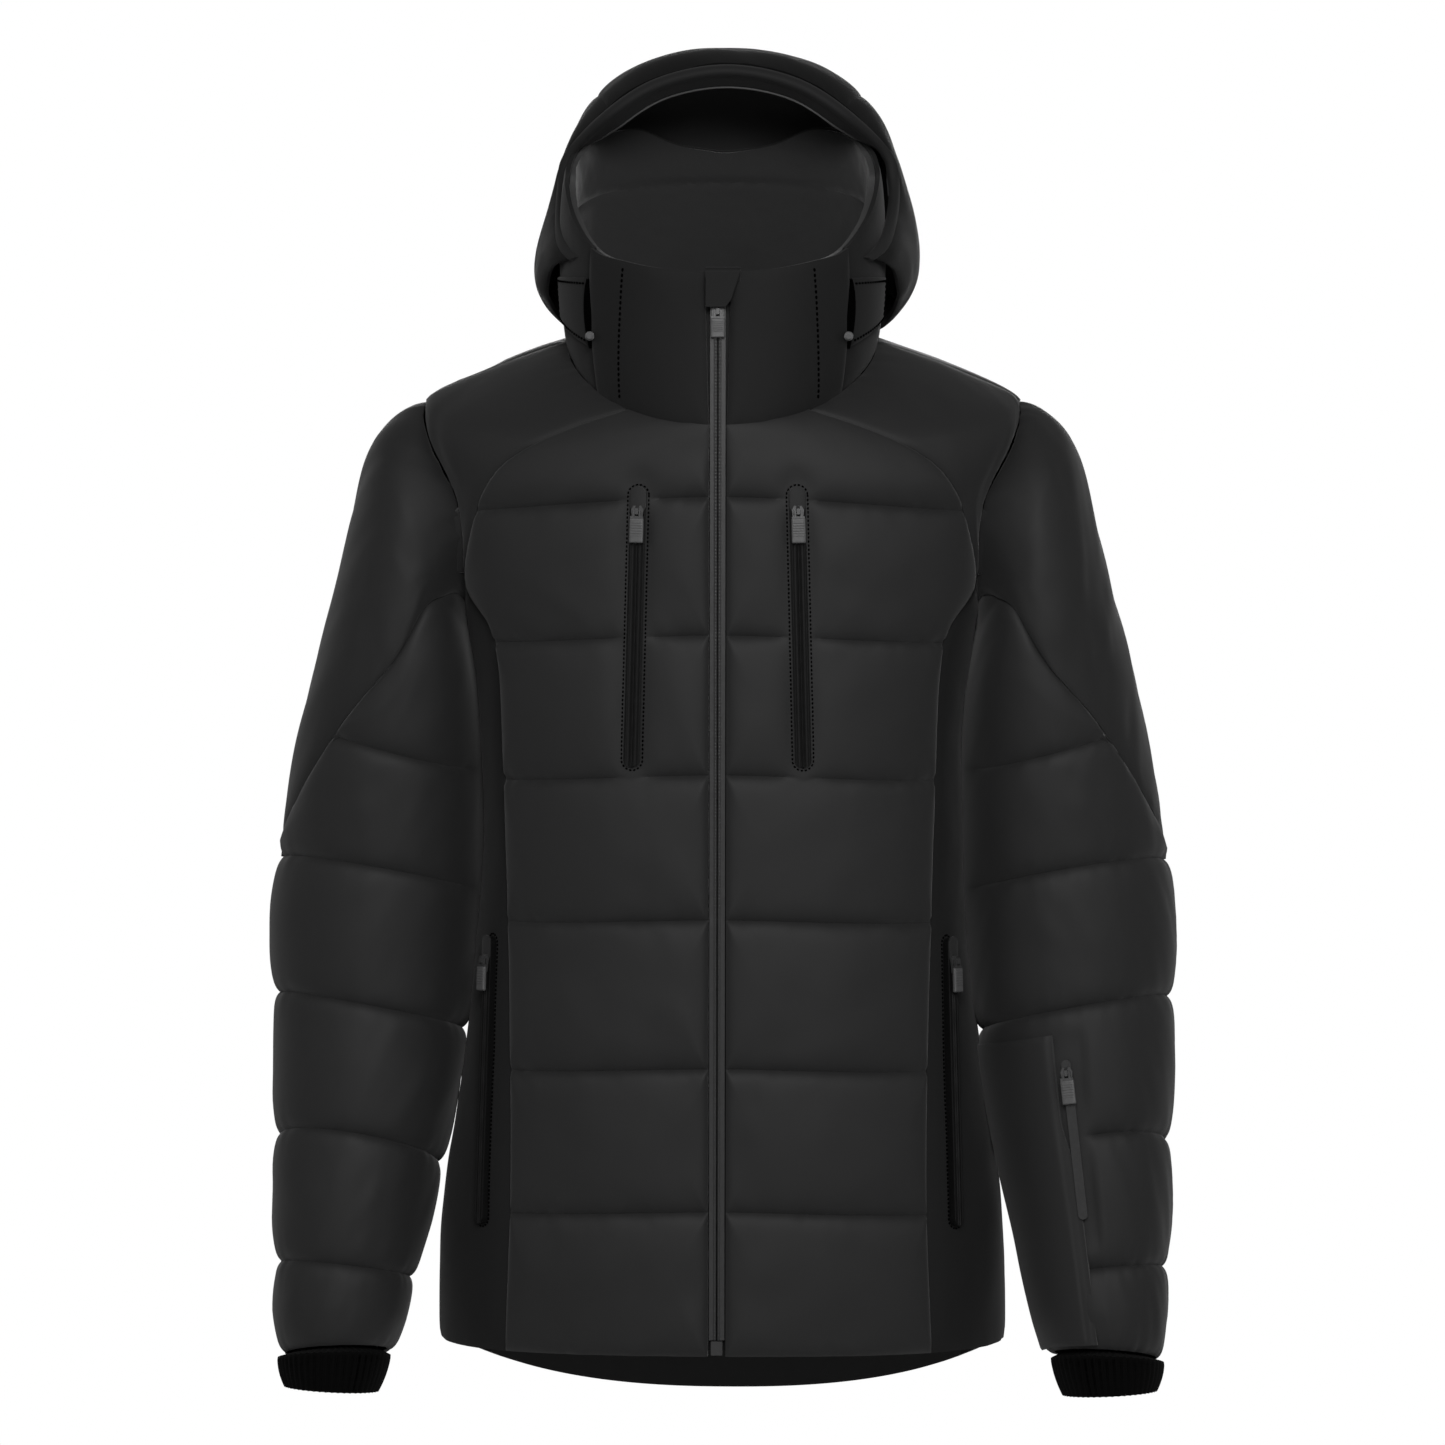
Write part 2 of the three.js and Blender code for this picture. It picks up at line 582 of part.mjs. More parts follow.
// The left sleeve's outer face: the angle runs from the outside (0) round the front (90) to the inside (180).
function sleeve(angle, ring) {
  const [xo, zo, xi, zi, yc, depth, lift] = sleeveValue.map((f) => f(ring));
  const c = Math.cos(angle * DEG);
  const s = Math.sin(angle * DEG);
  const point = new THREE.Vector3(
    (xo + xi) / 2 + ((xo - xi) / 2) * c,
    yc - depth * s,
    (zo + zi) / 2 + ((zo - zi) / 2) * c + lift * depth * s - LOOP_HEIGHT,
  );
  if (ring >= BLEND_RINGS) return point;
  const t = Math.max(0, ring) / BLEND_RINGS;
  const rim = torso(90 - ARMHOLE.halfAngle * s, ARMHOLE.middle + ARMHOLE.halfHeight * c);
  return rim.lerp(point, t * t * (3 - 2 * t));
}
const sleeveAt = (angle, ring, depth) => offsetPoint(sleeve, angle, ring, depth, 0.5, 0.02);
// Ring at which the plain upper sleeve ends in a point towards the elbow, by angle from the outside.
const sleeveSeam = through([0, 30, 60, 90, 112.5, 135, 180], [7.9, 7.1, 5.6, 3.7, 1.7, 0.08, 0.08]);
const SLEEVE_START = [0.04, 0.5]; // ring at which the outer and the inner face start
const SLEEVE_SEGMENTS = 16;
const folded180 = (angle) => Math.abs(((angle + 540) % 360) - 180);

function upperSleeve(side) {
  return sheetSolid(
    (u, v, layer) => {
      const angle = lerp(-112.5, 112.5, u);
      const ring = lerp(SLEEVE_START[layer], sleeveSeam(Math.abs(angle)) - 0.03, v);
      return mirrored(sleeveAt(angle, ring, layer ? -SLEEVE_SHELL : 0), side);
    },
    10,
    7,
  );
}
function sleeveTube(start, end, outer, inner, rings, side) {
  return sheetSolid(
    (u, v, layer) => {
      const angle = u * 360;
      const ring = lerp(start(folded180(angle)), end, v);
      return mirrored(sleeveAt(angle, ring, layer ? -inner : -outer), side);
    },
    SLEEVE_SEGMENTS,
    rings,
    true,
  );
}
const PLEAT = 8; // sleeve lining below the shell's outer face
// The wrist gaiter is a knitted tube that starts inside the cuff and stands out of it.
const GAITER = { top: 0.86, length: 92, reach: 34, inset: 10 };
function gaiter(side) {
  const from = 13.3;
  return sheetSolid(
    (u, v, layer) => {
      const depth = GAITER.inset + 1.5 * v + (layer ? FABRIC : 0);
      const inCuff = Math.min(1, v / 0.62);
      const p = sleeveAt(u * 360, lerp(from, RINGS, inCuff), -depth);
      const beyond = Math.max(0, (v - 0.62) / 0.38) * GAITER.reach;
      const away = new THREE.Vector3(0.07, -0.22, -0.97).normalize();
      return mirrored(p.addScaledVector(away, beyond), side);
    },
    SLEEVE_SEGMENTS,
    4,
    true,
  );
}
const sleeveGroups = {};
for (const [word, side] of SIDES) {
  const group = new THREE.Group();
  root.add(group);
  sleeveGroups[word] = group;
  add(`sleeve_upper_${word}`, upperSleeve(side), BLACK_FABRIC, group);
  const start = (angle) => sleeveSeam(angle) + 0.04;
  add(`sleeve_lower_${word}`, sleeveTube(start, RINGS, 0, SLEEVE_SHELL, 11, side), BLACK_FABRIC, group);
  add(`sleeve_lining_${word}`, sleeveTube(() => 0.9, 13, PLEAT, PLEAT + FABRIC, 10, side), LINING_FABRIC, group);
  add(`wrist_gaiter_${word}`, gaiter(side), STRETCH_KNIT, group);
}

// ---- Zips -----------------------------------------------------------------------------------------

// A group whose local z runs up a straight zip from its bottom to its top and whose local -y faces out.
function zipFrame(bottom, top, out, parent = root) {
  const up = top.clone().sub(bottom).normalize();
  const inward = out.clone().negate().addScaledVector(up, out.dot(up)).normalize();
  const across = inward.clone().cross(up).normalize();
  const group = new THREE.Group();
  group.setRotationFromMatrix(new THREE.Matrix4().makeBasis(across, inward, up));
  group.position.copy(bottom);
  parent.add(group);
  return { group, length: top.distanceTo(bottom) };
}

// A flat bar with round ends, in local x and z, between two depths.
function stadium(width, z0, z1, y0, y1) {
  const r = width / 2;
  const shape = new THREE.Shape();
  shape.absarc(0, z1 - r, r, 0, Math.PI, false);
  shape.absarc(0, z0 + r, r, Math.PI, 2 * Math.PI, false);
  return new THREE.ExtrudeGeometry(shape, { depth: y1 - y0, bevelEnabled: false, curveSegments: 8 })
    .rotateX(Math.PI / 2)
    .translate(0, y1, 0);
}

// Slider body: a plate with a bail whose hole holds the pull's pin. Local origin: the middle of its foot.
const SLIDER = { width: 9, length: 13, plate: 1.6, bail: 2.4, pinHeight: 3.1, pinAt: 2.5, pin: 0.55, hole: 0.85 };
function bail() {
  const side = new THREE.Shape([
    new THREE.Vector2(-1.8, 1),
    new THREE.Vector2(6.8, 1),
    new THREE.Vector2(4.6, SLIDER.pinHeight + 1.7),
    new THREE.Vector2(0.4, SLIDER.pinHeight + 1.7),
  ]);
  const hole = new THREE.Path();
  hole.absarc(SLIDER.pinAt, SLIDER.pinHeight, SLIDER.hole, 0, 2 * Math.PI, false);
  side.holes.push(hole);
  // drawn with z along x and the distance out of the zip along y, then turned to stand on the plate
  return new THREE.ExtrudeGeometry(side, { depth: SLIDER.bail, bevelEnabled: false, curveSegments: 6 })
    .translate(0, 0, -SLIDER.bail / 2)
    .applyMatrix4(new THREE.Matrix4().set(0, 0, 1, 0, 0, -1, 0, 0, 1, 0, 0, 0, 0, 0, 0, 1));
}
function sliderPlate(width, length, y0, y1) {
  const shape = new THREE.Shape([
    new THREE.Vector2(-width * 0.36, -length / 2),
    new THREE.Vector2(width * 0.36, -length / 2),
    new THREE.Vector2(width / 2, length / 2 - 3),
    new THREE.Vector2(width * 0.3, length / 2),
    new THREE.Vector2(-width * 0.3, length / 2),
    new THREE.Vector2(-width / 2, length / 2 - 3),
  ]);
  return new THREE.ExtrudeGeometry(shape, { depth: y1 - y0, bevelEnabled: false })
    .rotateX(Math.PI / 2)
    .translate(0, y1, 0);
}
// The pull hangs from its pin: two ears beside the bail, and a grip plate with a rounded end.
const PULL = { width: 9.4, thick: 1.8, length: 22, ear: 1.3, earHalf: 0.95, earTop: 1 };
function pull(length) {
  const inner = SLIDER.bail / 2 + 0.35;
  const ears = [-1, 1].map((s) =>
    box(
      s > 0 ? inner : -inner - PULL.ear,
      s > 0 ? inner + PULL.ear : -inner,
      -PULL.earHalf,
      PULL.earHalf,
      -4.2,
      PULL.earTop,
    ),
  );
  const pin = new THREE.CylinderGeometry(SLIDER.pin, SLIDER.pin, 2 * inner + 1, 8).rotateZ(Math.PI / 2);
  const r = PULL.width / 2;
  const grip = new THREE.Shape();
  grip.moveTo(r, -3.6);
  grip.lineTo(-r, -3.6);
  grip.lineTo(-r, -length + 2);
  grip.quadraticCurveTo(0, -length - 1, r, -length + 2);
  const plate = new THREE.ExtrudeGeometry(grip, { depth: PULL.thick, bevelEnabled: false, curveSegments: 5 })
    .rotateX(Math.PI / 2)
    .translate(0, PULL.thick / 2, 0);
  return joined([plate, pin, ...ears]);
}

// Adds a slider and its pull to a zip's group, with the slider's foot at height z and depth y.
function addSlider(name, frame, z, y, extra = [], pullLength = PULL.length) {
  const slider = joined([sliderPlate(SLIDER.width, SLIDER.length, -SLIDER.plate, 0), bail(), ...extra]);
  add(`${name}_slider`, slider.translate(0, y, z), GUNMETAL, frame.group);
  const tab = pull(pullLength).translate(0, y - SLIDER.pinHeight, z + SLIDER.pinAt);
  add(`${name}_pull`, tab, GUNMETAL, frame.group);
}

// Main zip: two tapes with their coils, meeting at the centre front, and the box at the hem.
const zipPoint = (height) => new THREE.Vector3(0, zipY(height), height - LOOP_HEIGHT);
const mainOut = new THREE.Vector3(0, -1, ZIP_LEAN).normalize();
const main = zipFrame(zipPoint(0), zipPoint(785), mainOut);
const TAPE = { half: 5.6, gap: 0.6, front: 1.4, back: 3.6 };
for (const [word, side] of SIDES) {
  const x = [side * TAPE.gap, side * TAPE.half].sort((a, b) => a - b);
  add(`zip_tape_${word}`, box(...x, TAPE.front, TAPE.back, 12, ZIP_TOP), COATED_TAPE, main.group);
}
add("zip_box", box(-4.2, 4.2, TAPE.front - 0.6, TAPE.back + 0.6, 1, 11.2), MOULDED, main.group);
const MAIN_SLIDER_AT = ZIP_TOP - 17; // its pull has room to swing out below the chin guard
const MAIN_PULL = 18;
const web = 0.35; // the slider's web runs in the joint line between the coils
const mainInner = [
  box(-web, web, -0.5, TAPE.back + 1, -5, 5),
  sliderPlate(SLIDER.width, SLIDER.length, TAPE.back - TAPE.front + 0.8, TAPE.back - TAPE.front + 2.2),
];
addSlider("main", main, MAIN_SLIDER_AT, TAPE.front - 0.4, mainInner, MAIN_PULL);

// Chin guard: a fabric flap folded over the top of the zip.
const guardShape = new THREE.Shape([
  new THREE.Vector2(-8.5, 786),
  new THREE.Vector2(-8.5, 760.4),
  new THREE.Vector2(5.5, 760.4),
  new THREE.Vector2(9.5, 766),
  new THREE.Vector2(16, 786),
]);
const guard = new THREE.ExtrudeGeometry(guardShape, { depth: 1.5, bevelEnabled: false })
  .rotateX(Math.PI / 2)
  .translate(0, -4.3, 0);
const guardFold = box(-5.8, 5.8, -5.8, 4, 785, 787);
add("chin_guard", joined([guard, guardFold]), BLACK_FABRIC, main.group);

// Pocket zips, laid straight on the shell: [half width, height] of their bottoms and tops.
function pocketZip(name, low, high, width, lift) {
  for (const [word, side] of SIDES) {
    const ends = [low, high].map(([x, h]) => {
      const level = levelAt(x, h);
      return mirrored(torsoAt(angleAt(x, level), level, 0), side);
    });
    const [xm, hm] = [(low[0] + high[0]) / 2, (low[1] + high[1]) / 2];
    const level = levelAt(xm, hm);
    const out = torsoAt(angleAt(xm, level), level, -1).sub(torsoAt(angleAt(xm, level), level, 0));
    const frame = zipFrame(...ends, mirrored(out, side));
    add(`${name}_zip_${word}`, stadium(width, 0, frame.length, -lift - 1.5, -lift), COATED_TAPE, frame.group);
    addSlider(`${name}_${word}`, frame, frame.length - 20, -lift - 1.8);
  }
}
pocketZip("chest", [62, 427], [57, 630], 12, 1.2);
pocketZip("hand", [172, 87], [166, 297], 11, 5.2);

// Pass pocket on the left forearm: a plain panel over the sleeve, closed by a short hidden zip.
const passPanel = (u, v, layer) => sleeveAt(lerp(104, 170, u), lerp(14.8, 10.15, v), layer ? 0.9 : 2.3);
add("sleeve_pocket_left", sheetSolid(passPanel, 6, 6), BLACK_FABRIC, sleeveGroups.left);
const passLow = sleeveAt(100, 12.75, 0);
const passHigh = sleeveAt(100, 10.5, 0);
const passOut = sleeveAt(100, 11.6, 1).sub(sleeveAt(100, 11.6, 0));
const pass = zipFrame(passLow, passHigh, passOut, sleeveGroups.left);
add("pass_zip", stadium(7, 0, pass.length, -4.2, -2.9), COATED_TAPE, pass.group);
addSlider("pass", pass, pass.length - 12, -4.5);

// The rest of the model is drawn with the hanger loop's bar at the back of the neck, so shift it there.
const whole = new THREE.Group();
root.position.y = -LOOP.y;
root.getObjectByName("hanger_loop").position.y = LOOP.y;
whole.add(root);

export default whole;
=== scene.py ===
# %% [markdown]
# # A padded ski jacket
# The jacket is built over a packed engineering model that says where each panel lies and how the sleeves,
# the hood and the zips move. This lesson dresses that model: every panel becomes a smooth padded surface
# worked out with numpy, and every finish is a node material. Lengths are in millimetres inside the shape
# functions, with h measured up from the front hem, and are turned into the model's metres at the end.

# %% Load the frame
import json
import math

import bpy
import numpy as np
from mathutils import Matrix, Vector


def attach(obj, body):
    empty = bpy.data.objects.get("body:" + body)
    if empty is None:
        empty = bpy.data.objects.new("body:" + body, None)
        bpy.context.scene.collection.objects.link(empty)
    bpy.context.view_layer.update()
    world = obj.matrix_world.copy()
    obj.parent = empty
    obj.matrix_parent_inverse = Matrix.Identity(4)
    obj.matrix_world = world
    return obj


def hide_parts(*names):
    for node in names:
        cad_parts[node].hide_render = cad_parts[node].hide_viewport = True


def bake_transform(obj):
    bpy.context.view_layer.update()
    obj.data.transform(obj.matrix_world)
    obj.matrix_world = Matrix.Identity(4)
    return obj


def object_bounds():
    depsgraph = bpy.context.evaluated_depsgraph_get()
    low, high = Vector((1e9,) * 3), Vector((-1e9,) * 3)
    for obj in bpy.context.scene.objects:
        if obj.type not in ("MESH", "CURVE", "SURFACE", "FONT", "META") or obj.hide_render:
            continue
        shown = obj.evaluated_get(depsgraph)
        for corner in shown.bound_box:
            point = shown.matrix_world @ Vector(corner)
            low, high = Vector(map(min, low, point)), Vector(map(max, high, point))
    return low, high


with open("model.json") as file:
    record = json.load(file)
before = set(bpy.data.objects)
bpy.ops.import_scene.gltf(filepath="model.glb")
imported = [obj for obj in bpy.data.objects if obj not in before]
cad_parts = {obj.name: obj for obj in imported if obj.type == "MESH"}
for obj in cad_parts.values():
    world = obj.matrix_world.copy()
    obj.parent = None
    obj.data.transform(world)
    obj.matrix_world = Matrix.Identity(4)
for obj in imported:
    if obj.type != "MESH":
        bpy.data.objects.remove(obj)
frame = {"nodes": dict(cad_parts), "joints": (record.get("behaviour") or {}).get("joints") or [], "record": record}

cad_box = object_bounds()
LOOP = np.array([0.0, 63.0, 760.0])  # the hanger loop, which is the model's origin, in jacket millimetres


def to_frame(p):
    """Jacket millimetres to the model's metres: subtract the loop's place, then divide by 1000."""
    return (np.asarray(p, float) - LOOP) / 1000.0


# %% [markdown]
# ## The camera
# A long lens from four and a half metres keeps the jacket free of perspective. It stands a little above the
# middle of the chest and looks five degrees down, so that it sees into the collar.

# %% Camera
ELEVATION, AZIMUTH, DISTANCE = math.radians(5.0), math.radians(1.6), 4.5
AIM_HEIGHT = 448.6  # the middle of the jacket above its front hem
LENS, SENSOR = 150.5, 36
aim = Vector(to_frame([0, 0, AIM_HEIGHT]))
eye = aim + DISTANCE * Vector(
    (
        math.sin(AZIMUTH) * math.cos(ELEVATION),
        -math.cos(AZIMUTH) * math.cos(ELEVATION),
        math.sin(ELEVATION),
    )
)
camera_data = bpy.data.cameras.new("camera")
camera_data.lens, camera_data.sensor_width = LENS, SENSOR
camera_data.clip_end = 50
camera = bpy.data.objects.new("camera", camera_data)
camera.location = eye
camera.rotation_euler = (aim - eye).to_track_quat("-Z", "Y").to_euler()
bpy.context.scene.collection.objects.link(camera)
bpy.context.scene.camera = camera
print("camera at", [round(c, 3) for c in eye])

# %% [markdown]
# ## Smooth curves
# Pattern pieces are drawn from a few measured points. A cubic through those points gives every size in
# between, and it works on whole arrays at once.


# %% Curve and noise helpers
def through(knots, values):
    """A smooth function through (knots, values): cubic pieces whose end slopes are those of the chords
    between the neighbouring points. Takes and returns arrays."""
    knots, values = np.asarray(knots, float), np.asarray(values, float)
    before = np.r_[0, np.arange(len(knots) - 1)]
    after = np.r_[np.arange(1, len(knots)), len(knots) - 1]
    slope = (values[after] - values[before]) / (knots[after] - knots[before])

    def curve(x):
        s = np.clip(x, knots[0], knots[-1])
        i = np.clip(np.searchsorted(knots, s, side="right") - 1, 0, len(knots) - 2)
        h = knots[i + 1] - knots[i]
        t = (s - knots[i]) / h
        rise = (2 * t**3 - 3 * t**2 + 1) * values[i] + (3 * t**2 - 2 * t**3) * values[i + 1]
        return rise + h * ((t**3 - 2 * t**2 + t) * slope[i] + (t**3 - t**2) * slope[i + 1])

    return curve


def lerp(a, b, t):
    """The value a share t of the way from a to b."""
    return a + (b - a) * t


def smooth(low, high, x):
    """0 below low, 1 above high, and the S curve 3t^2 - 2t^3 between them."""
    t = np.clip((x - low) / (high - low), 0, 1)
    return t * t * (3 - 2 * t)


def cloudy(x, y, size, seed):
    """Soft noise from -1 to 1: random values on a lattice with that spacing, blended with the S curve."""
    table = np.random.default_rng(seed).uniform(-1, 1, (64, 64))

    def value(a, b):
        return table[(ix + a) % 64, (iy + b) % 64]

    gx, gy = np.asarray(x) / size + 1000, np.asarray(y) / size + 1000
    ix, iy = np.floor(gx).astype(int), np.floor(gy).astype(int)
    tx, ty = gx - ix, gy - iy
    tx, ty = tx * tx * (3 - 2 * tx), ty * ty * (3 - 2 * ty)
    return lerp(lerp(value(0, 0), value(1, 0), tx), lerp(value(0, 1), value(1, 1), tx), ty)


def spaced(knots, counts, crowd=0.7):
    """Grid positions that hit every knot, with counts[k] steps between knots k and k + 1, crowded towards
    the knots: t - crowd sin(2 pi t) / (2 pi). Returns the positions and the rows of the knots."""
    parts, rows = [], [0]
    for k, n in enumerate(counts):
        t = np.arange(n) / n
        parts.append(lerp(knots[k], knots[k + 1], t - crowd * np.sin(2 * np.pi * t) / (2 * np.pi)))
        rows.append(rows[-1] + n)
    return np.r_[np.concatenate(parts), knots[-1]], rows


# %% [markdown]
# ## From a grid to a sewn panel
# A panel is two grids of points, its outer and its inner face, joined round the rim. The distance along the
# cloth is kept as a UV map in metres, so that a weave keeps its size wherever the panel stretches.


# %% Mesh helpers
def normals_of(grid, ring=False):
    """Unit normals of a grid of points, or of a closed ring: the cross product of its two directions."""
    if ring:
        wrapped = np.concatenate([grid[-2:-1], grid, grid[1:2]])
        du = np.gradient(wrapped, axis=0)[1:-1]
    else:
        du = np.gradient(grid, axis=0)
    n = np.cross(du, np.gradient(grid, axis=1))
    return n / np.maximum(np.linalg.norm(n, axis=2, keepdims=True), 1e-9)


def normals_from(middle, grid, ring=False):
    """Unit normals of a grid, all turned so that most of them point away from a middle."""
    n = normals_of(grid, ring)
    return n * np.sign(np.einsum("ijk,ijk->ij", n, grid - middle).mean())


def lengths_of(grid):
    """Distance along the cloth from the first column, and from the first row, at every point of a grid."""
    along_u = np.linalg.norm(np.diff(grid, axis=0), axis=2)
    along_v = np.linalg.norm(np.diff(grid, axis=1), axis=2)
    u = np.concatenate([np.zeros((1, grid.shape[1])), np.cumsum(along_u, axis=0)])
    v = np.concatenate([np.zeros((grid.shape[0], 1)), np.cumsum(along_v, axis=1)], axis=1)
    return u, v


def new_object(name, points, faces, uv=None, sharp=50):
    """A mesh object from points in jacket millimetres, smooth shaded, with edges over sharp degrees kept."""
    mesh = bpy.data.meshes.new(name)
    mesh.from_pydata(to_frame(points), [], faces)
    mesh.update()
    mesh.polygons.foreach_set("use_smooth", np.ones(len(mesh.polygons), bool))
    mesh.set_sharp_from_angle(angle=math.radians(sharp))
    if uv is not None:
        layer = mesh.uv_layers.new(name="cloth")
        corners = np.zeros(len(mesh.loops), np.int32)
        mesh.loops.foreach_get("vertex_index", corners)
        layer.data.foreach_set("uv", (np.asarray(uv)[corners] / 1000.0).astype(np.float32).ravel())
    piece = bpy.data.objects.new(name, mesh)
    bpy.context.scene.collection.objects.link(piece)
    return piece


def grid_quads(nu, nv, offset, flip, ring):
    """Corner numbers of a grid's quads. A ring's last column is its first."""
    columns = nu if ring else nu - 1
    i, j = np.meshgrid(np.arange(columns), np.arange(nv - 1), indexing="ij")
    a, b = i * nv + j, ((i + 1) % nu) * nv + j
    quads = np.stack([a, b, b + 1, a + 1], axis=-1).reshape(-1, 4)
    return (quads[:, ::-1] if flip else quads) + offset


def rim_quads(first, second):
    """Quads between two rows of corner numbers."""
    return np.stack([first[:-1], second[:-1], second[1:], first[1:]], axis=-1)


def closed_panel(name, outer, inner, ring=False, sharp=50):
    """A closed solid from an outer and an inner grid: both faces, and walls round the rim."""
    if ring:
        outer, inner = outer[:-1], inner[:-1]
    nu, nv = outer.shape[:2]
    grid_u, grid_v = lengths_of(outer)
    points = np.concatenate([outer.reshape(-1, 3), inner.reshape(-1, 3)])
    uv = np.stack([grid_u.ravel(), grid_v.ravel()], axis=1)
    ids = np.arange(nu * nv).reshape(nu, nv)
    if ring:
        closed = np.concatenate([ids, ids[:1]])
        rims = [closed[:, -1], closed[::-1, 0]]
    else:
        rims = [ids[:, -1], ids[::-1, 0], ids[0], ids[-1, ::-1]]
    walls = [rim_quads(row, row + nu * nv) for row in rims]
    sheets = [grid_quads(nu, nv, 0, False, ring), grid_quads(nu, nv, nu * nv, True, ring)]
    faces = np.concatenate([*sheets, *walls])
    a, b, c, d = (points[faces[:, k]] for k in range(4))
    volume = np.einsum("ij,ij->i", a, np.cross(b, c) + np.cross(c, d)).sum()
    if volume < 0:
        faces = faces[:, ::-1]
    return new_object(name, points, faces.tolist(), np.concatenate([uv, uv]), sharp)


def finish(piece, material, replaced):
    """Gives a piece its finish, and hides the engineering nodes it stands for."""
    piece.data.materials.clear()
    piece.data.materials.append(material)
    if replaced:
        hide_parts(*replaced)
    return piece


def dress(piece, body, slot, material, *replaced):
    """Puts a piece on a body and finishes it."""
    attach(piece, body)
    return finish(piece, material, replaced)


def bend(piece, body, ends, slot, material, *replaced):
    """Bakes a piece's place into its mesh and finishes it. It does not bend the piece: body and ends are not used.
    """
    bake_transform(piece)
    return finish(piece, material, replaced)


print("helpers ready")

# %% [markdown]
# ## Finishes
# The shell is a matt stretch weave, so its colour is nearly black and what is seen is soft light on a rough
# surface. Two effects are shared by all the cloths and are built once as node groups: a weave that follows
# the panel's own UV map, and a slow unevenness of tone and gloss from handling.


# %% Node group helpers
def node_group(name, inputs, outputs):
    """An empty shader node group with float or colour inputs and outputs."""
    group = bpy.data.node_groups.new(name, "ShaderNodeTree")
    for label, kind, value in inputs:
        socket = group.interface.new_socket(label, in_out="INPUT", socket_type=kind)
        socket.default_value = value
    for label, kind in outputs:
        group.interface.new_socket(label, in_out="OUTPUT", socket_type=kind)
    return group, group.nodes.new("NodeGroupInput"), group.nodes.new("NodeGroupOutput")


def math_node(tree, operation, a, b=None, clamp=False):
    """A Math node whose inputs are numbers or sockets, and its output socket."""
    node = tree.nodes.new("ShaderNodeMath")
    node.operation, node.use_clamp = operation, clamp
    for k, value in enumerate((a, b)):
        if value is None:
            continue
        if isinstance(value, (int, float)):
            node.inputs[k].default_value = value
        else:
            tree.links.new(value, node.inputs[k])
    return node.outputs[0]


FLOAT = "NodeSocketFloat"


def build_weave():
    """Threads crossing at right angles: the product of two waves across the UV map, plus fine fibres."""
    group, start, end = node_group(
        "cloth_weave", [("Threads per metre", FLOAT, 2500.0), ("Fibre", FLOAT, 0.4)], [("Height", FLOAT)]
    )
    uv = group.nodes.new("ShaderNodeUVMap")
    uv.uv_map = "cloth"
    split = group.nodes.new("ShaderNodeSeparateXYZ")
    group.links.new(uv.outputs[0], split.inputs[0])
    turn = math_node(group, "MULTIPLY", start.outputs[0], 2 * math.pi)
    waves = []
    for axis in (0, 1):
        phase = math_node(group, "MULTIPLY", split.outputs[axis], turn)
        waves.append(math_node(group, "SINE", phase))
    crossing = math_node(group, "MULTIPLY", waves[0], waves[1])
    noise = group.nodes.new("ShaderNodeTexNoise")
    noise.inputs["Scale"].default_value = 900
    noise.inputs["Detail"].default_value = 2
    coordinates = group.nodes.new("ShaderNodeTexCoord")
    group.links.new(coordinates.outputs["Object"], noise.inputs["Vector"])
    fibres = math_node(group, "MULTIPLY", noise.outputs["Fac"], start.outputs[1])
    total = math_node(group, "ADD", math_node(group, "MULTIPLY", crossing, 0.35), fibres)
    group.links.new(total, end.inputs[0])
    return group


def build_uneven():
    """A slow variation from 0 to 1 over the cloth, from two sizes of noise."""
    group, start, end = node_group("cloth_uneven", [("Size", FLOAT, 20.0)], [("Amount", FLOAT)])
    coordinates = group.nodes.new("ShaderNodeTexCoord")
    parts = []
    for factor, share in ((1.0, 0.65), (6.0, 0.35)):
        noise = group.nodes.new("ShaderNodeTexNoise")
        noise.inputs["Detail"].default_value = 3
        group.links.new(coordinates.outputs["Object"], noise.inputs["Vector"])
        group.links.new(math_node(group, "MULTIPLY", start.outputs[0], factor), noise.inputs["Scale"])
        parts.append(math_node(group, "MULTIPLY", noise.outputs["Fac"], share))
    group.links.new(math_node(group, "ADD", parts[0], parts[1]), end.inputs[0])
    return group


weave_group, uneven_group = build_weave(), build_uneven()


RELIEF_DEPTH = 0.0003  # metres that a full bump stands for


def new_material(name):
    """A material with its node tree and its shader."""
    material = bpy.data.materials.new(name)
    material.use_nodes = True
    return material, material.node_tree, material.node_tree.nodes["Principled BSDF"]


def drift(tree, shader, amount, dark, light, rough, spread):
    """Colour goes from dark to light, and roughness from rough - spread to rough + spread, with an amount."""
    tone = tree.nodes.new("ShaderNodeMix")
    tone.data_type = "RGBA"
    tone.inputs["A"].default_value = (*dark, 1)
    tone.inputs["B"].default_value = (*light, 1)
    tree.links.new(amount, tone.inputs["Factor"])
    tree.links.new(tone.outputs["Result"], shader.inputs["Base Color"])
    gloss = tree.nodes.new("ShaderNodeMapRange")
    gloss.inputs["To Min"].default_value = rough - spread
    gloss.inputs["To Max"].default_value = rough + spread
    tree.links.new(amount, gloss.inputs["Value"])
    tree.links.new(gloss.outputs[0], shader.inputs["Roughness"])


def emboss(tree, shader, height, strength):
    """Turns a height into a bump of the surface."""
    relief = tree.nodes.new("ShaderNodeBump")
    relief.inputs["Strength"].default_value = strength
    relief.inputs["Distance"].default_value = RELIEF_DEPTH
    tree.links.new(height, relief.inputs["Height"])
    tree.links.new(relief.outputs[0], shader.inputs["Normal"])


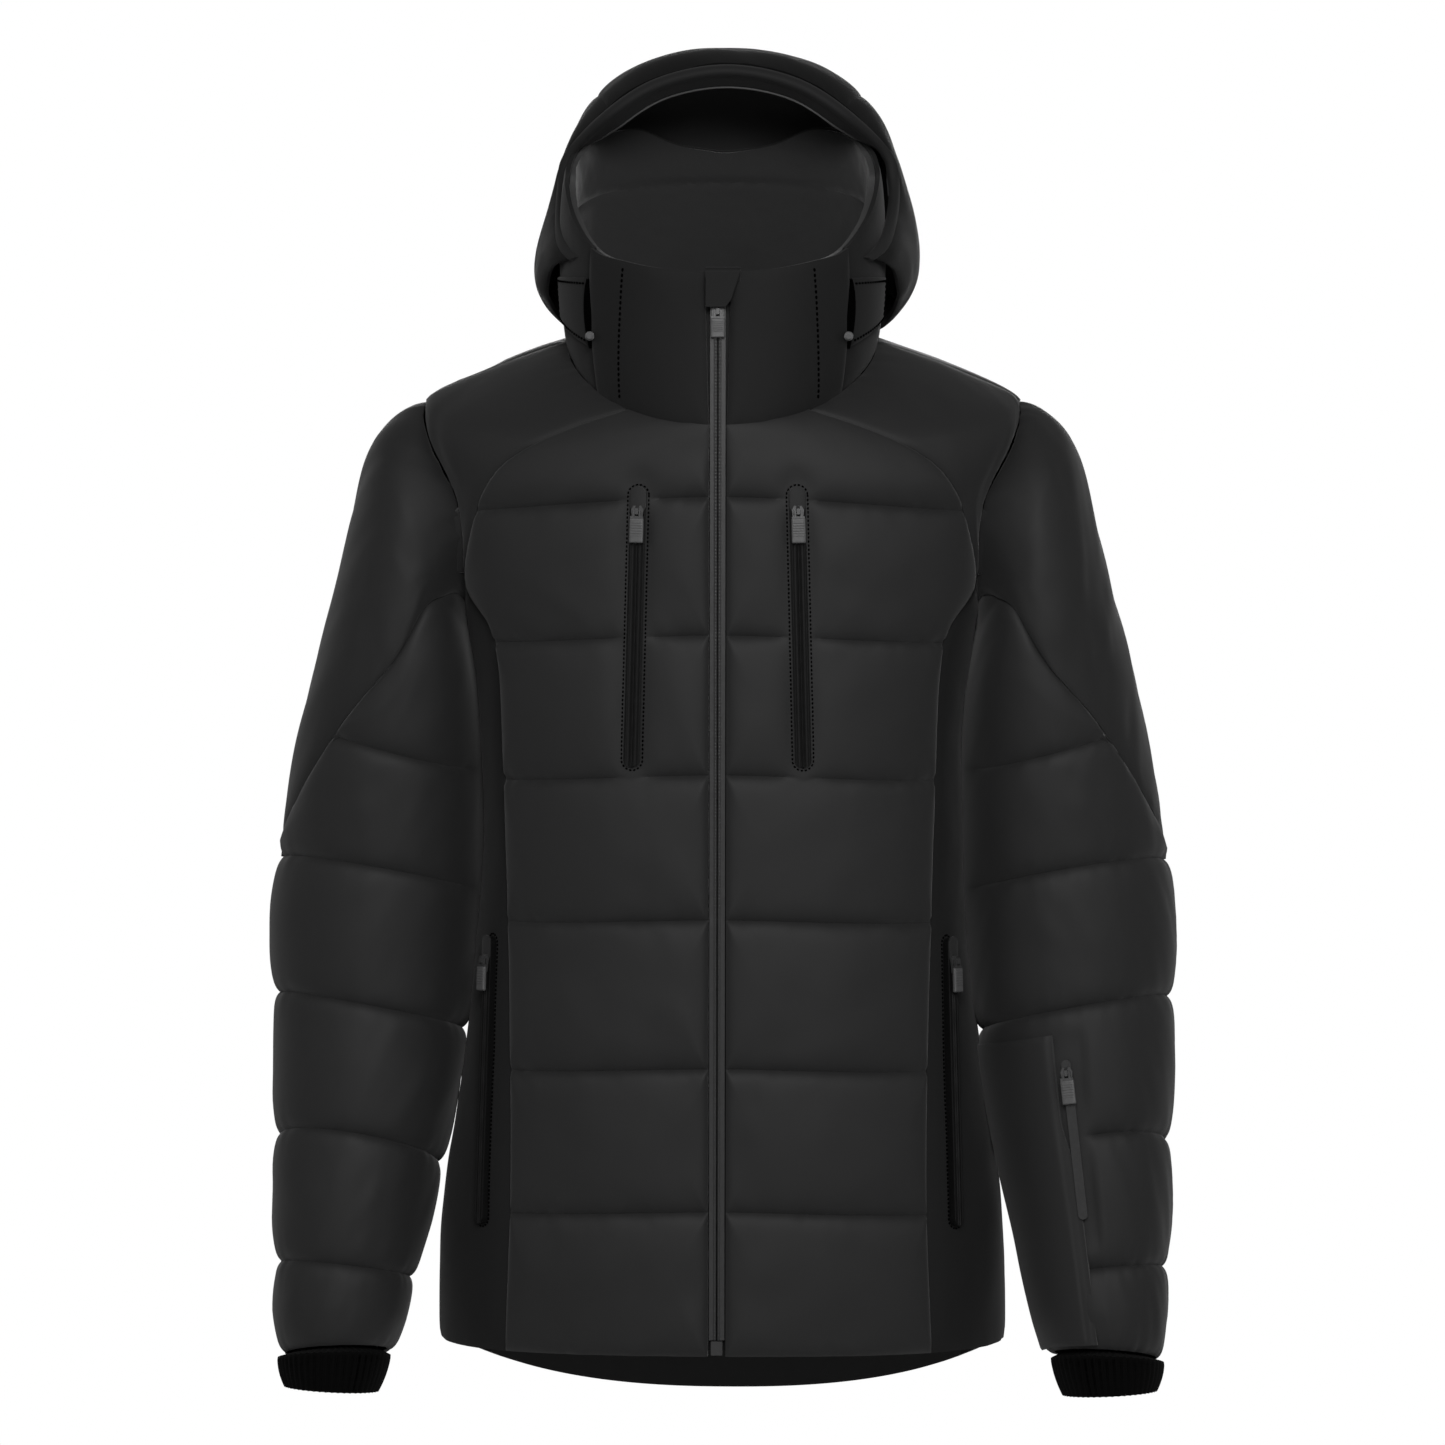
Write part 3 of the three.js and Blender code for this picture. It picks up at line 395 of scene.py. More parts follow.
def cloth_material(
    name, dark, light, rough, threads=2500.0, fibre=0.4, bump=0.12, sheen=0.15, size=16.0, shine=0.32
):
    """A cloth: colour and roughness drift between two values, threads give the bump, sheen the soft rim."""
    material, tree, shader = new_material(name)
    shader.inputs["Sheen Weight"].default_value = sheen
    shader.inputs["Sheen Roughness"].default_value = 0.45
    shader.inputs["Specular IOR Level"].default_value = shine
    uneven = tree.nodes.new("ShaderNodeGroup")
    uneven.node_tree = uneven_group
    uneven.inputs["Size"].default_value = size
    drift(tree, shader, uneven.outputs[0], grey(dark), grey(light), rough, 0.05)
    weave = tree.nodes.new("ShaderNodeGroup")
    weave.node_tree = weave_group
    weave.inputs["Threads per metre"].default_value = threads
    weave.inputs["Fibre"].default_value = fibre
    emboss(tree, shader, weave.outputs[0], bump)
    return material


def hard_material(name, shade, rough, metallic, bump=0.05, scale=400.0):
    """A moulded or cast finish: fine grain in the bump, and a tone and roughness that vary a little."""
    material, tree, shader = new_material(name)
    shader.inputs["Metallic"].default_value = metallic
    coordinates = tree.nodes.new("ShaderNodeTexCoord")
    grain = tree.nodes.new("ShaderNodeTexNoise")
    grain.inputs["Scale"].default_value = scale
    grain.inputs["Detail"].default_value = 4
    tree.links.new(coordinates.outputs["Object"], grain.inputs["Vector"])
    drift(tree, shader, grain.outputs["Fac"], grey(0.8 * shade), grey(1.2 * shade), rough, 0.06)
    emboss(tree, shader, grain.outputs["Fac"], bump)
    return material


def grey(value):
    """A grey that is a touch blue, as dark cloth and metal are."""
    return (value, value, value * 1.01)


shell_cloth = cloth_material("shell_weave", 0.0125, 0.0165, 0.62)
yoke_cloth = cloth_material("yoke_weave", 0.011, 0.0145, 0.62)
sleeve_cloth = cloth_material("sleeve_weave", 0.013, 0.017, 0.62)
side_cloth = cloth_material("side_panel_weave", 0.0072, 0.0095, 0.7, sheen=0.06, shine=0.22)
collar_cloth = cloth_material("collar_weave", 0.0066, 0.009, 0.68, sheen=0.1, shine=0.22)
# Hood panels: the shell cloth at about a third of its colour, which is painted shade on the crown and sides.
hood_cloth_painted_shade = cloth_material("hood_weave_painted_shade", 0.0045, 0.0062, 0.7, sheen=0.06, shine=0.18)
brim_cloth = cloth_material("brim_weave", 0.014, 0.018, 0.7, sheen=0.06, shine=0.18)
piping_cloth = cloth_material("piping_satin", 0.05, 0.06, 0.45)
welt_cloth = cloth_material("pocket_welt", 0.0022, 0.003, 0.5, 3000, 0.3, 0.1, 0.02, shine=0.2)
fleece_cloth = cloth_material("collar_fleece", 0.018, 0.025, 0.85, 1400, 1.4, 0.35, 0.4, 30)
lining_cloth = cloth_material("lining_taffeta", 0.008, 0.010, 0.5, 4000, 0.2, 0.06, 0.05)
# The hood's lining: the taffeta at several times the sleeve linings' colour, which is painted light inside the
# hood.
hood_inside_painted_light = cloth_material("hood_lining_taffeta_painted_light", 0.06, 0.075, 0.6, 4000, 0.2, 0.06, 0.02)
knit_cloth = cloth_material("gaiter_knit", 0.0012, 0.0018, 0.9, 900, 0.6, 0.5, 0.02, shine=0.08)
tape_finish = hard_material("coated_zip_tape", 0.036, 0.32, 0.0)
metal_finish = hard_material("gunmetal", 0.1, 0.4, 0.7)
moulded_finish = hard_material("moulded_trim", 0.03, 0.42, 0.0)
grip_finish = hard_material("grip_rubber_grey", 0.1, 0.45, 0.2)
# Near-black thread for the dashed seams. The same finish colours the lenses in the collar's slits, where it is
# painted shade.
thread_and_slit_shade_finish = hard_material("stitch_thread_and_slit_shade", 0.0004, 0.9, 0.0)
thread_and_slit_shade_finish.node_tree.nodes["Principled BSDF"].inputs["Specular IOR Level"].default_value = 0.02
print("materials:", len(bpy.data.materials))

# %% [markdown]
# ## The torso's surface
# The body is a stack of rings, squared a little at their corners like a worn jacket. Each ring has its own
# heights at the front, the sides and the back, because the hem drops behind and the shoulders slope. Every
# torso panel is a patch of this one surface, so neighbouring panels meet along their seams without fitting.

# %% Torso surface
NECK = 733  # ring level of the neck seam
ZIP_AT_HEM, ZIP_LEAN = -156, 0.0484  # depth of the front's middle at the hem, and its lean back by height
# ring level, half width, back depth, the heights of its front, side and back, and the corner power
TORSO_RINGS = np.array(
    [
        [-10, 212, 150, 0, -12, -85, 0.86],
        [90, 208, 146, 92, 90, 86, 0.84],
        [200, 192, 138, 200, 200, 200, 0.82],
        [330, 178.6, 128, 330, 330, 330, 0.8],
        [440, 177.6, 131, 440, 440, 440, 0.8],
        [510, 185.5, 137, 505, 510, 512, 0.8],
        [570, 198, 140, 560, 570, 575, 0.82],
        [620, 207, 138, 602, 620, 632, 0.86],
        [686, 221, 122, 648, 687, 694, 1.0],
        [711, 170, 104, 664, 713, 725, 1.0],
        [NECK, 115, 84, 676, 733, 748, 1.0],
    ]
)
half_width, back_depth, front_height, side_height, back_height, corner = (
    through(TORSO_RINGS[:, 0], TORSO_RINGS[:, k]) for k in range(1, 7)
)
ARMHOLE_MIDDLE, ARMHOLE_HALF, ARMHOLE_ANGLE = 611, 76, 23


def power(x, p):
    """x to the power p, with the sign of x."""
    return np.sign(x) * np.abs(x) ** p


def zip_y(height):
    """Depth of the front's middle line, which leans back as it rises."""
    return ZIP_AT_HEM + ZIP_LEAN * height


def torso(angle, level):
    """Outer face of the torso: x is the half width times sin^p, y the depth times cos^p, and the height runs
    from the ring's side value to its front or back value as cos^1.2. Angle 90 is the wearer's left."""
    s, c = np.sin(np.radians(angle)), np.cos(np.radians(angle))
    p = corner(level)
    end = np.where(c > 0, front_height(level), back_height(level))
    height = side_height(level) + (end - side_height(level)) * np.abs(c) ** 1.2
    depth = np.where(c > 0, zip_y(height), back_depth(level))
    return np.stack([half_width(level) * power(s, p), depth * np.abs(c) ** p, height], axis=-1)


def angle_at(x, level):
    """Angle on a ring where the torso is x wide: the inverse of the half width formula."""
    return np.degrees(np.arcsin(np.clip(x / half_width(level), 0, 1) ** (1 / corner(level))))


def level_at(x, height):
    """Ring level whose front has that height at half width x, by halving the interval."""
    low = np.full(np.broadcast(x, height).shape, -10.0)
    high = np.full_like(low, NECK)
    for _ in range(30):
        middle = (low + high) / 2
        under = torso(angle_at(x, middle), middle)[..., 2] < height
        low, high = np.where(under, middle, low), np.where(under, high, middle)
    return (low + high) / 2


def armhole_angle(level):
    """Half the armhole's opening in degrees at a level: half an ellipse."""
    t = np.clip((level - ARMHOLE_MIDDLE) / ARMHOLE_HALF, -1, 1)
    return ARMHOLE_ANGLE * np.sqrt(1 - t * t)


print("torso at the armpit:", np.round(torso(90, 535), 1))

# %% [markdown]
# ## Padding
# A quilted baffle is two fabrics sewn together along lines, with wadding between them. It rises steeply out
# of each stitch line, stays full in the middle, and wrinkles a little where the thread draws it in. The steep
# rise and the long swell are two exponentials of the distance to the nearest line. A pressure simulation on
# a coarse remesh would lose exactly these narrow lines, so the loft is computed instead.


# %% Padding function
def loft(distance, steep=3.6, swell=3.6):
    """Height above the stitch line: steep (1 - e^(-d/3.5)) + swell (1 - e^(-d/17))."""
    return steep * (1 - np.exp(-distance / 3.5)) + swell * (1 - np.exp(-distance / 17))


def nearest(lengths, rows):
    """Distance along the cloth to the nearest of some rows, for a grid of lengths whose last axis is v."""
    return np.min([np.abs(lengths - lengths[:, r : r + 1]) for r in rows], axis=0)


def puckers(along, distance, seed, depth=0.8, pitch=13.0):
    """Small folds that run off a seam: noise along it, fading as e^(-d/11)."""
    fold = cloudy(along, distance * 0.35, pitch, seed)
    fine = cloudy(along, distance * 0.3, pitch * 0.45, seed + 1)
    return depth * (fold + 0.5 * fine) * np.exp(-distance / 11)


def undulation(u, v, seed, depth=1.6):
    """Slow swells and shallow diagonal drag lines over a panel."""
    slow = cloudy(u, v, 75, seed) + 0.45 * cloudy(u + 0.5 * v, v - 0.5 * u, 26, seed + 3)
    return depth * slow


def pad(
    base,
    seam_distance,
    edge_distance,
    seed,
    ring=False,
    seam_depth=2.6,
    full=1.0,
    inner=5.0,
    wavy=1.0,
    edge_depth=1.0,
    free=1.0,
):
    """Outer and inner sheets of a padded panel. The outer one is the base surface moved along its normal by
    the loft over the stitch lines, damped towards the panel's edges, with puckers and a slow undulation.
    Where free is under 1 something sewn on top, such as a pocket's welt, holds the padding down."""
    n = normals_of(base, ring)
    u, v = lengths_of(base)
    if ring:
        turn = 2 * np.pi * u / u[-1:]
        waves = undulation(110 * np.cos(turn) + v * 0.3, v + 110 * np.sin(turn), seed)
        small = puckers(75 * np.cos(turn) + 75 * np.sin(2 * turn), seam_distance, seed + 7)
    else:
        waves = undulation(u, v, seed)
        small = puckers(u + v * 0.2, seam_distance, seed + 7)
    distance = np.minimum(seam_distance, edge_distance)
    settled = 1 - np.exp(-distance / 14)
    depth = seam_depth - (seam_depth - edge_depth) * np.exp(-edge_distance / 5)
    rise = full * loft(distance) - depth + wavy * (waves * settled + small)
    rise = lerp(0.3, rise, free)
    return base + n * rise[..., None], base - n * inner


def faces_out(outer, inner, base, hidden):
    """Whether the outer one of two sheets is the further from a hidden point, at the panel's middle."""
    middle = (base.shape[0] // 2, base.shape[1] // 2)
    return np.dot(outer[middle] - inner[middle], base[middle] - np.asarray(hidden, float)) > 0


def padded_panel(name, base, seam_rows, seed, hidden, free=1.0, **kind):
    """A padded panel from its base grid, the rows of its stitch lines, and a point on its hidden side. A
    panel that would face inwards is made again from its columns in the other order."""
    u, v = lengths_of(base)
    across = nearest(v, sorted(set(seam_rows) | {0, base.shape[1] - 1}))
    edge = np.minimum(2.0 * np.minimum(u, u[-1:] - u), np.minimum(v, v[:, -1:] - v))
    outer, inner = pad(base, across, edge, seed, free=free, **kind)
    if faces_out(outer, inner, base, hidden):
        return closed_panel(name, outer, inner)
    turned = free if np.isscalar(free) else free[::-1]
    return padded_panel(name, base[::-1], seam_rows, seed, hidden, turned, **kind)


SIDES = (("left", 1), ("right", -1))


def on_side(points, side):
    """Points of the left half as they are for side 1, or mirrored for side -1."""
    return points * np.array([side, 1.0, 1.0])


print("loft in the middle of a baffle:", round(float(loft(np.array(50.0))), 2), "mm")

# %% [markdown]
# ## Fronts, side panels and yokes
# The quilted fronts run from the main zip to a side seam, and above the armpit to a curved yoke seam. Their
# stitch lines fall slightly towards the sides, so each grid row joins a height at the zip to a height on the
# seam, and rows crowd together at the stitch lines to draw the crease finely.

# %% Front panels
SEAM_X = [157, 153, 153, 155, 158, 161, 168, 187, 180, 170, 154, 128, 98, 64]
SEAM_H = [-4, 98, 204, 306, 409, 489, 525, 557, 605, 630, 648, 663, 675, 686]
ARMPIT = 7  # the seam point where side panel, yoke and sleeve meet
seam_x, seam_h = through(range(14), SEAM_X), through(range(14), SEAM_H)
QUILT_FRONT = [0, 105, 209, 317, 422, 523, 623, 675]  # heights of the stitch lines at the zip
QUILT_SEAM = [-4, 98, 202, 310, 413, 512, 609, 686]  # and at the side or yoke seam
ZIP_GAP = 6.4
FRONT_COLUMNS, BAFFLE_ROWS = 78, 26


def front_grid():
    """u runs from the zip to the seam and v up the rows. A row's height leaves the zip level and bends to the
    seam's height as u^1.5."""
    v, rows = spaced(range(8), [BAFFLE_ROWS] * 6 + [16])
    h_zip = np.interp(v, range(8), QUILT_FRONT)
    knot = np.interp(np.interp(v, range(8), QUILT_SEAM), SEAM_H, range(14))
    u = np.linspace(0, 1, FRONT_COLUMNS)[:, None]
    u = u - 0.35 * np.sin(2 * np.pi * u) / (2 * np.pi)
    x = lerp(ZIP_GAP, seam_x(knot)[None] - 0.1, u)
    height = lerp(h_zip[None], seam_h(knot)[None] - 0.1, u**1.5)
    level = level_at(x, height)
    return torso(angle_at(x, level), level), rows


CHEST_ZIP = np.array([[62.0, 427.0], [57.0, 630.0]])  # x and height of the chest pocket's bottom and top
INSIDE, CHEST = (0, 0, 350), (0, 0, 500)  # points inside the jacket, behind the panels


def free_of_zip(base, line, radius, reach):
    """0 on a straight zip's strip, rising to 1 beside it: 1 - e^(-(distance to line - radius) / reach)."""
    p = base[..., [0, 2]]
    way = line[1] - line[0]
    t = np.clip(((p - line[0]) @ way) / (way @ way), 0, 1)
    gap = np.linalg.norm(p - line[0] - t[..., None] * way, axis=-1) - radius
    return 1 - np.exp(-np.maximum(gap, 0) / reach)


front, front_rows = front_grid()
free = free_of_zip(front, CHEST_ZIP, 7.5, 9.0) * lerp(1.0, 0.3, smooth(628, 662, front[..., 2]))
fronts = {}
for word, side in SIDES:
    base = on_side(front, side)
    panel = padded_panel(f"padded_front_{word}", base, front_rows, 11 + side, INSIDE, free, seam_depth=2.2)
    fronts[word] = dress(panel, "torso", "shell", shell_cloth, f"front_panel_{word}")
print("front panel grid:", front.shape[:2])


# %% Side panels, yokes and back
back_edge = through([-10, 470, 520, 559], [122, 121, 115.5, 107.8])  # angle of the back's side seam by level
BACK_YOKE = 600  # ring level of the seam between back and yoke


def side_grid():
    """Between the front's seam and the back's edge, up to the armhole's lower rim."""
    v = np.linspace(0, 1, 120)[None]
    u = np.linspace(0, 1, 28)[:, None]
    knot = np.interp(lerp(-4, 557, v), SEAM_H[: ARMPIT + 1], range(ARMPIT + 1))
    level_front = level_at(seam_x(knot), seam_h(knot))
    angle_front = angle_at(seam_x(knot), level_front)
    level_back = lerp(-8, 556, v)
    angle = lerp(angle_front, back_edge(level_back), u)
    level = lerp(level_front, level_back, u)
    away = np.clip(np.abs(angle - 90) / ARMHOLE_ANGLE, 0, 1)
    rim = ARMHOLE_MIDDLE - ARMHOLE_HALF * np.sqrt(1 - away**2)
    return torso(angle, np.minimum(level, lerp(level[:, :1], rim, v)))


ARMPIT_TURN = 0.78  # radians round the armhole, from its lowest point to the yoke's lower corner
SHOULDER_LEVEL = 687.5


def yoke_grid():
    """From the yoke seam up to the shoulder seam. The first row runs round the armhole, and the next ones bow
    less and less until they are straight."""
    v = np.linspace(0, 1, 80)[None]
    turn = lerp(ARMPIT_TURN, np.pi, np.linspace(0, 1, 56))[:, None]
    rise = (math.cos(ARMPIT_TURN) - np.cos(turn)) / (1 + math.cos(ARMPIT_TURN))
    knot = lerp(ARMPIT, 13, v)
    level_low = level_at(seam_x(knot), seam_h(knot))
    angle_low = angle_at(seam_x(knot), level_low)
    straight = lerp(angle_low, 90, rise)
    rim_level = lerp(level_low[:, :1], SHOULDER_LEVEL, rise)
    bow = np.maximum(0, straight[:, :1] - (90 - armhole_angle(rim_level)))
    level = lerp(level_low, lerp(SHOULDER_LEVEL, NECK, v), rise)
    return torso(straight - bow * np.clip(1 - 1.6 * v, 0, 1), level)


def back_grid():
    """Across the back between the side panels, quilted at the same heights as the front."""
    v, rows = spaced(range(7), [BAFFLE_ROWS] * 6)
    level = np.interp(v, range(7), [-8, 98, 204, 310, 413, 512, BACK_YOKE])[None]
    edge = np.where(level < 559, back_edge(level), 90 + armhole_angle(level))
    u = np.linspace(0, 1, 110)[:, None]
    return torso(lerp(edge, 360 - edge, u), level), rows


def back_yoke_grid():
    """From the back's top seam over the shoulders to the neck, between the armholes."""
    v, _ = spaced(range(3), [64, 24], crowd=0.85)
    level = np.interp(v, range(3), [BACK_YOKE, SHOULDER_LEVEL, NECK])[None]
    edge = 90 + armhole_angle(level)
    return torso(lerp(edge, 360 - edge, np.linspace(0, 1, 130)[:, None]), level)


flanks = {}
PLAIN = dict(full=0.3, seam_depth=0.9, edge_depth=0.9, wavy=0.7)
for word, side in SIDES:
    flank = padded_panel(f"padded_side_{word}", on_side(side_grid(), side), [], 31 + side, INSIDE, **PLAIN)
    flanks[word] = dress(flank, "torso", "shell", side_cloth, f"side_panel_{word}")
    yoke = padded_panel(f"padded_yoke_{word}", on_side(yoke_grid(), side), [], 41 + side, CHEST, **PLAIN)
    dress(yoke, "torso", "shell", yoke_cloth, f"front_yoke_{word}")
back, back_rows = back_grid()
back_panel = padded_panel("padded_back", back, back_rows, 51, INSIDE)
dress(back_panel, "torso", "shell", shell_cloth, "back_panel")
back_yoke = padded_panel("padded_back_yoke", back_yoke_grid(), [], 53, CHEST, **PLAIN)
dress(back_yoke, "torso", "shell", yoke_cloth, "back_yoke")
print("back panel grid:", back.shape[:2])

# %% [markdown]
# ## Sleeves
# A sleeve is a bent tube of sixteen measured rings. Its plain upper part ends in a point towards the elbow,
# and the quilted part below starts at that seam. The sleeve's surface grows out of the armhole's rim along an S
# curve.

# %% Sleeve surface
# outer point (x, height), inner point (x, height), middle in y, half depth, and how much its front is lifted
SLEEVE_RINGS = np.array(
    [
        [221, 687, 195, 536, 2, 66, 0],
        [243, 679, 192, 523, 2, 73, 0],
        [261, 650, 189.5, 511, 2, 78, 0],
        [273, 608, 187, 498, 1, 80, 0],
        [285, 560, 184, 481, 0, 81, 0],
        [299, 508, 181, 457, 0, 81, 0],
        [311, 456, 179.5, 420, 0, 80, 0],
        [321, 405, 179.5, 375, 1, 79, 0],
        [330, 350, 181, 325, 1, 78, 0],
        [336, 295, 186, 268, -2, 77, 0.04],
        [337, 240, 193, 215, -10, 75, 0.1],
        [336, 185, 201, 165, -21, 70, 0.16],
        [335, 130, 212, 112, -33, 64, 0.2],
        [334, 75, 224, 62, -45, 58, 0.23],
        [333, 25, 234, 18, -55, 53, 0.26],
        [330, -18, 243, -14, -62, 49, 0.28],
    ]
)
CUFF = len(SLEEVE_RINGS) - 1
SLEEVE_COLUMNS = 132
QUILT_RINGS = np.array([6.1, 8.05, 9.9, 11.8, 13.5])  # where the stitch lines run round the sleeve
QUILT_DIPS = np.array([0, 0.25, 0.16, 0.18, 0])  # and how far each is higher in front
sleeve_values = [through(range(CUFF + 1), SLEEVE_RINGS[:, k]) for k in range(7)]
sleeve_seam = through([0, 30, 60, 90, 112.5, 135, 157.5, 180], [7.9, 7.05, 5.8, 4.5, 2.6, 1.1, 0.3, 0.08])


def sleeve(angle, ring):
    """Left sleeve: an ellipse between the ring's outer point (angle 0) and inner point (180), with its front
    (90) forward. The first rings grow out of the armhole's rim by the S curve."""
    angle, ring = np.broadcast_arrays(np.asarray(angle, float), np.asarray(ring, float))
    xo, ho, xi, hi, yc, depth, lift = (value(ring) for value in sleeve_values)
    c, s = np.cos(np.radians(angle)), np.sin(np.radians(angle))
    x = (xo + xi) / 2 + (xo - xi) / 2 * c
    height = (ho + hi) / 2 + (ho - hi) / 2 * c + lift * depth * s
    tube = np.stack([x, yc - depth * s, height], axis=-1)
    rim = torso(90 - ARMHOLE_ANGLE * s, ARMHOLE_MIDDLE + ARMHOLE_HALF * c)
    return lerp(rim, tube, smooth(0, 1.7, ring)[..., None])


def sleeve_quilts(angle):
    """Ring positions of the five stitch lines for a column of angles: ring - dip sin(angle) for each."""
    return QUILT_RINGS - QUILT_DIPS * np.sin(np.radians(angle))


def folded(angle):
    """An angle's size from 0 to 180 degrees, whichever way round it goes."""
    return np.abs((angle + 180) % 360 - 180)


SLEEVE_START = np.array([202, 0, 541.0])  # where a bend from the torso towards the arm would start; bend does not use it
SLEEVE_END = SLEEVE_START + 103 * np.array([0.8, 0, -0.6])  # and where it would end


def bend_sleeve(piece, word, side, slot, material, *replaced):
    """Hands a piece to bend with the two ends of the shoulder joint on its side; bend does not bend it."""
    ends = on_side(np.array([SLEEVE_START, SLEEVE_END]), side)
    bend(piece, f"sleeve_{word}", ends, slot, material, *replaced)


def lower_sleeve_grid():
    """Rows run from the seam to the cuff through every stitch line. Where the seam lies past the first line,
    that row keeps just below the seam."""
    angle = np.linspace(0, 360, SLEEVE_COLUMNS + 1)[:, None]
    start = sleeve_seam(folded(angle))
    quilts = sleeve_quilts(angle)
    first = np.maximum(quilts[:, :1], start + 0.15)
    knots = np.concatenate([start, first, quilts[:, 1:], np.full_like(start, CUFF)], axis=1)
    v, _ = spaced(range(7), [34, 24, 24, 24, 24, 20])
    k = np.minimum(v.astype(int), 5)
    return angle, lerp(knots[:, k], knots[:, k + 1], (v - k)[None])


def sleeve_distance(base, angle, ring):
    """Distance along the cloth to the nearest stitch line or end, from the ring difference."""
    _, v = lengths_of(base)
    per_ring = np.gradient(v, axis=1) / np.maximum(np.gradient(ring, axis=1), 1e-6)
    lines = np.concatenate([sleeve_quilts(angle), ring[:, :1], ring[:, -1:]], axis=1)
    return np.abs(ring[..., None] - lines[:, None]).min(axis=2) * per_ring


def tube_middle(base):
    """Middle of each of a tube's rings."""
    return base[:-1].mean(axis=0, keepdims=True)


FAR = 1e3  # a distance at which no edge is felt
PRESSED_RISE = 3.0


def sleeve_pad(base, distance, seed, pressed, trim, **kind):
    """Padded sheets of a tube, whose columns are taken in the order that makes the normals point out. Where
    the arm presses on the body the outer sheet lies flat, and trim takes some of the padding away again."""
    n = normals_of(base, ring=True)
    if np.einsum("ijk,ijk->ij", n, base - tube_middle(base)).mean() < 0:
        turned = (array[::-1] for array in (pressed, trim))
        outer, inner = sleeve_pad(base[::-1], distance[::-1], seed, *turned, **kind)
        return outer[::-1], inner[::-1]
    outer, inner = pad(base, distance, np.full(distance.shape, FAR), seed, ring=True, **kind)
    rise = lerp(np.einsum("ijk,ijk->ij", outer - base, n), PRESSED_RISE, pressed) - trim
    return base + n * rise[..., None], inner - n * (0.4 * trim)[..., None]


def make_sleeve(word, side):
    """The quilted lower part, which runs from its seam to the cuff, and the plain part above it."""
    angle, ring = lower_sleeve_grid()
    base = sleeve(angle, ring)
    distance = sleeve_distance(base, angle, ring)
    base = on_side(base, side)
    pressed = smooth(135, 165, folded(angle)) * smooth(9.8, 8.6, ring)
    trim = 4.5 * (0.5 + 0.5 * np.cos(np.radians(angle))) * smooth(8.0, 10.5, ring)
    if word == "left":  # flat under the pass pocket's zip
        near_zip = smooth(14, 8, np.abs(angle - 100)) * smooth(9.9, 10.3, ring) * smooth(13.4, 13.0, ring)
        pressed = np.maximum(pressed, near_zip)
        trim = trim + 1.6 * near_zip
    outer, inner = sleeve_pad(base, distance, 61 + side, pressed, trim)
    lower = closed_panel(f"padded_sleeve_{word}", outer, inner, ring=True)
    bend_sleeve(lower, word, side, "shell", sleeve_cloth, f"sleeve_lower_{word}")
    angle = np.linspace(-180, 180, 133)[:, None]
    t = np.linspace(0, 1, 90)[None]
    base = on_side(sleeve(angle, sleeve_seam(np.abs(angle)) * t), side)
    v = lengths_of(base)[1]
    distance = np.minimum(v, v[:, -1:] - v)
    none = np.zeros_like(distance)
    outer, inner = sleeve_pad(base, distance, 71 + side, none, none, **{**PLAIN, "wavy": 1.1})
    upper = closed_panel(f"plain_sleeve_{word}", outer, inner, ring=True)
    bend_sleeve(upper, word, side, "shell", yoke_cloth, f"sleeve_upper_{word}")


for word, side in SIDES:
    make_sleeve(word, side)
outside = sleeve(np.zeros((2, 1)), np.linspace(0, CUFF, 200)[None])
print("sleeve length along its outside:", round(float(lengths_of(outside)[1][0, -1])), "mm")


# %% Sleeve linings and wrist gaiters
def inset(base, depth):
    """A grid moved towards its own tube's middle."""
    return base - depth * normals_from(tube_middle(base), base, ring=True)


HAND = np.array([0.07, -0.22, -0.97])  # the way the hand points
AWAY = HAND / np.linalg.norm(HAND)
IN_CUFF = 0.62  # share of the gaiter that lies inside the sleeve
RIBS = 48


def gaiter_grid(depth):
    """Inside the cuff the gaiter follows the sleeve, and from the cuff on it runs straight down the hand.
    Knit ribs stand out as a wave round the tube."""
    angle = np.linspace(0, 360, 145)[:, None]
    v = np.linspace(0, 1, 40)[None]
    ring = lerp(13.3, CUFF, np.minimum(1, v / IN_CUFF))
    out = np.maximum(0, (v - IN_CUFF) / (1 - IN_CUFF))
    base = inset(sleeve(angle, ring), depth)
    base = lerp(base, tube_middle(base), (0.04 + 0.16 * out**2)[..., None])
    length = 27 + 7 * np.cos(np.radians(angle - 120))
    base = base + (out * length)[..., None] * AWAY
    ribs = 0.5 * np.cos(np.radians(angle) * RIBS)
    return base + normals_of(base, ring=True) * ribs[..., None]


def tube_pair(name, outer, inner, side):
    """A closed tube between two grids of the left sleeve, put on a side."""
    return closed_panel(name, on_side(outer, side), on_side(inner, side), ring=True, sharp=60)


tube = sleeve(np.linspace(0, 360, 73)[:, None], np.linspace(0.9, 13, 80)[None])
for word, side in SIDES:
    lining = tube_pair(f"arm_lining_{word}", inset(tube, 7.0), inset(tube, 8.5), side)
    bend_sleeve(lining, word, side, "lining", lining_cloth, f"sleeve_lining_{word}")
    gaiter = tube_pair(f"knit_gaiter_{word}", gaiter_grid(11), gaiter_grid(12.6), side)
    dress(gaiter, f"sleeve_{word}", "knit", knit_cloth, f"wrist_gaiter_{word}")
print("linings and gaiters made")

# %% [markdown]
# ## Collar
# The collar stands on the neck seam and is taller behind than in front, with two soft humps in its back edge.
# Its outside is lightly padded, and its inside is a fleece that is seen past the wearer's chin.

# %% Collar surface
RIM_ANGLES = [0, 16, 31, 48, 66, 84, 100, 116, 132, 148, 164, 180]
RIM_HEIGHTS = [784.5, 787, 792, 800, 822, 848, 866, 879, 888, 890, 879, 873]
rim_height = through(RIM_ANGLES, RIM_HEIGHTS)
COLLAR_SPLIT, ZIP_EDGE = 50, 3.4  # angles of the seam behind the front band, and of the zip's edge
RIM_HALF_WIDTH, RIM_BACK, COLLAR_BOW = 117, -80, 16


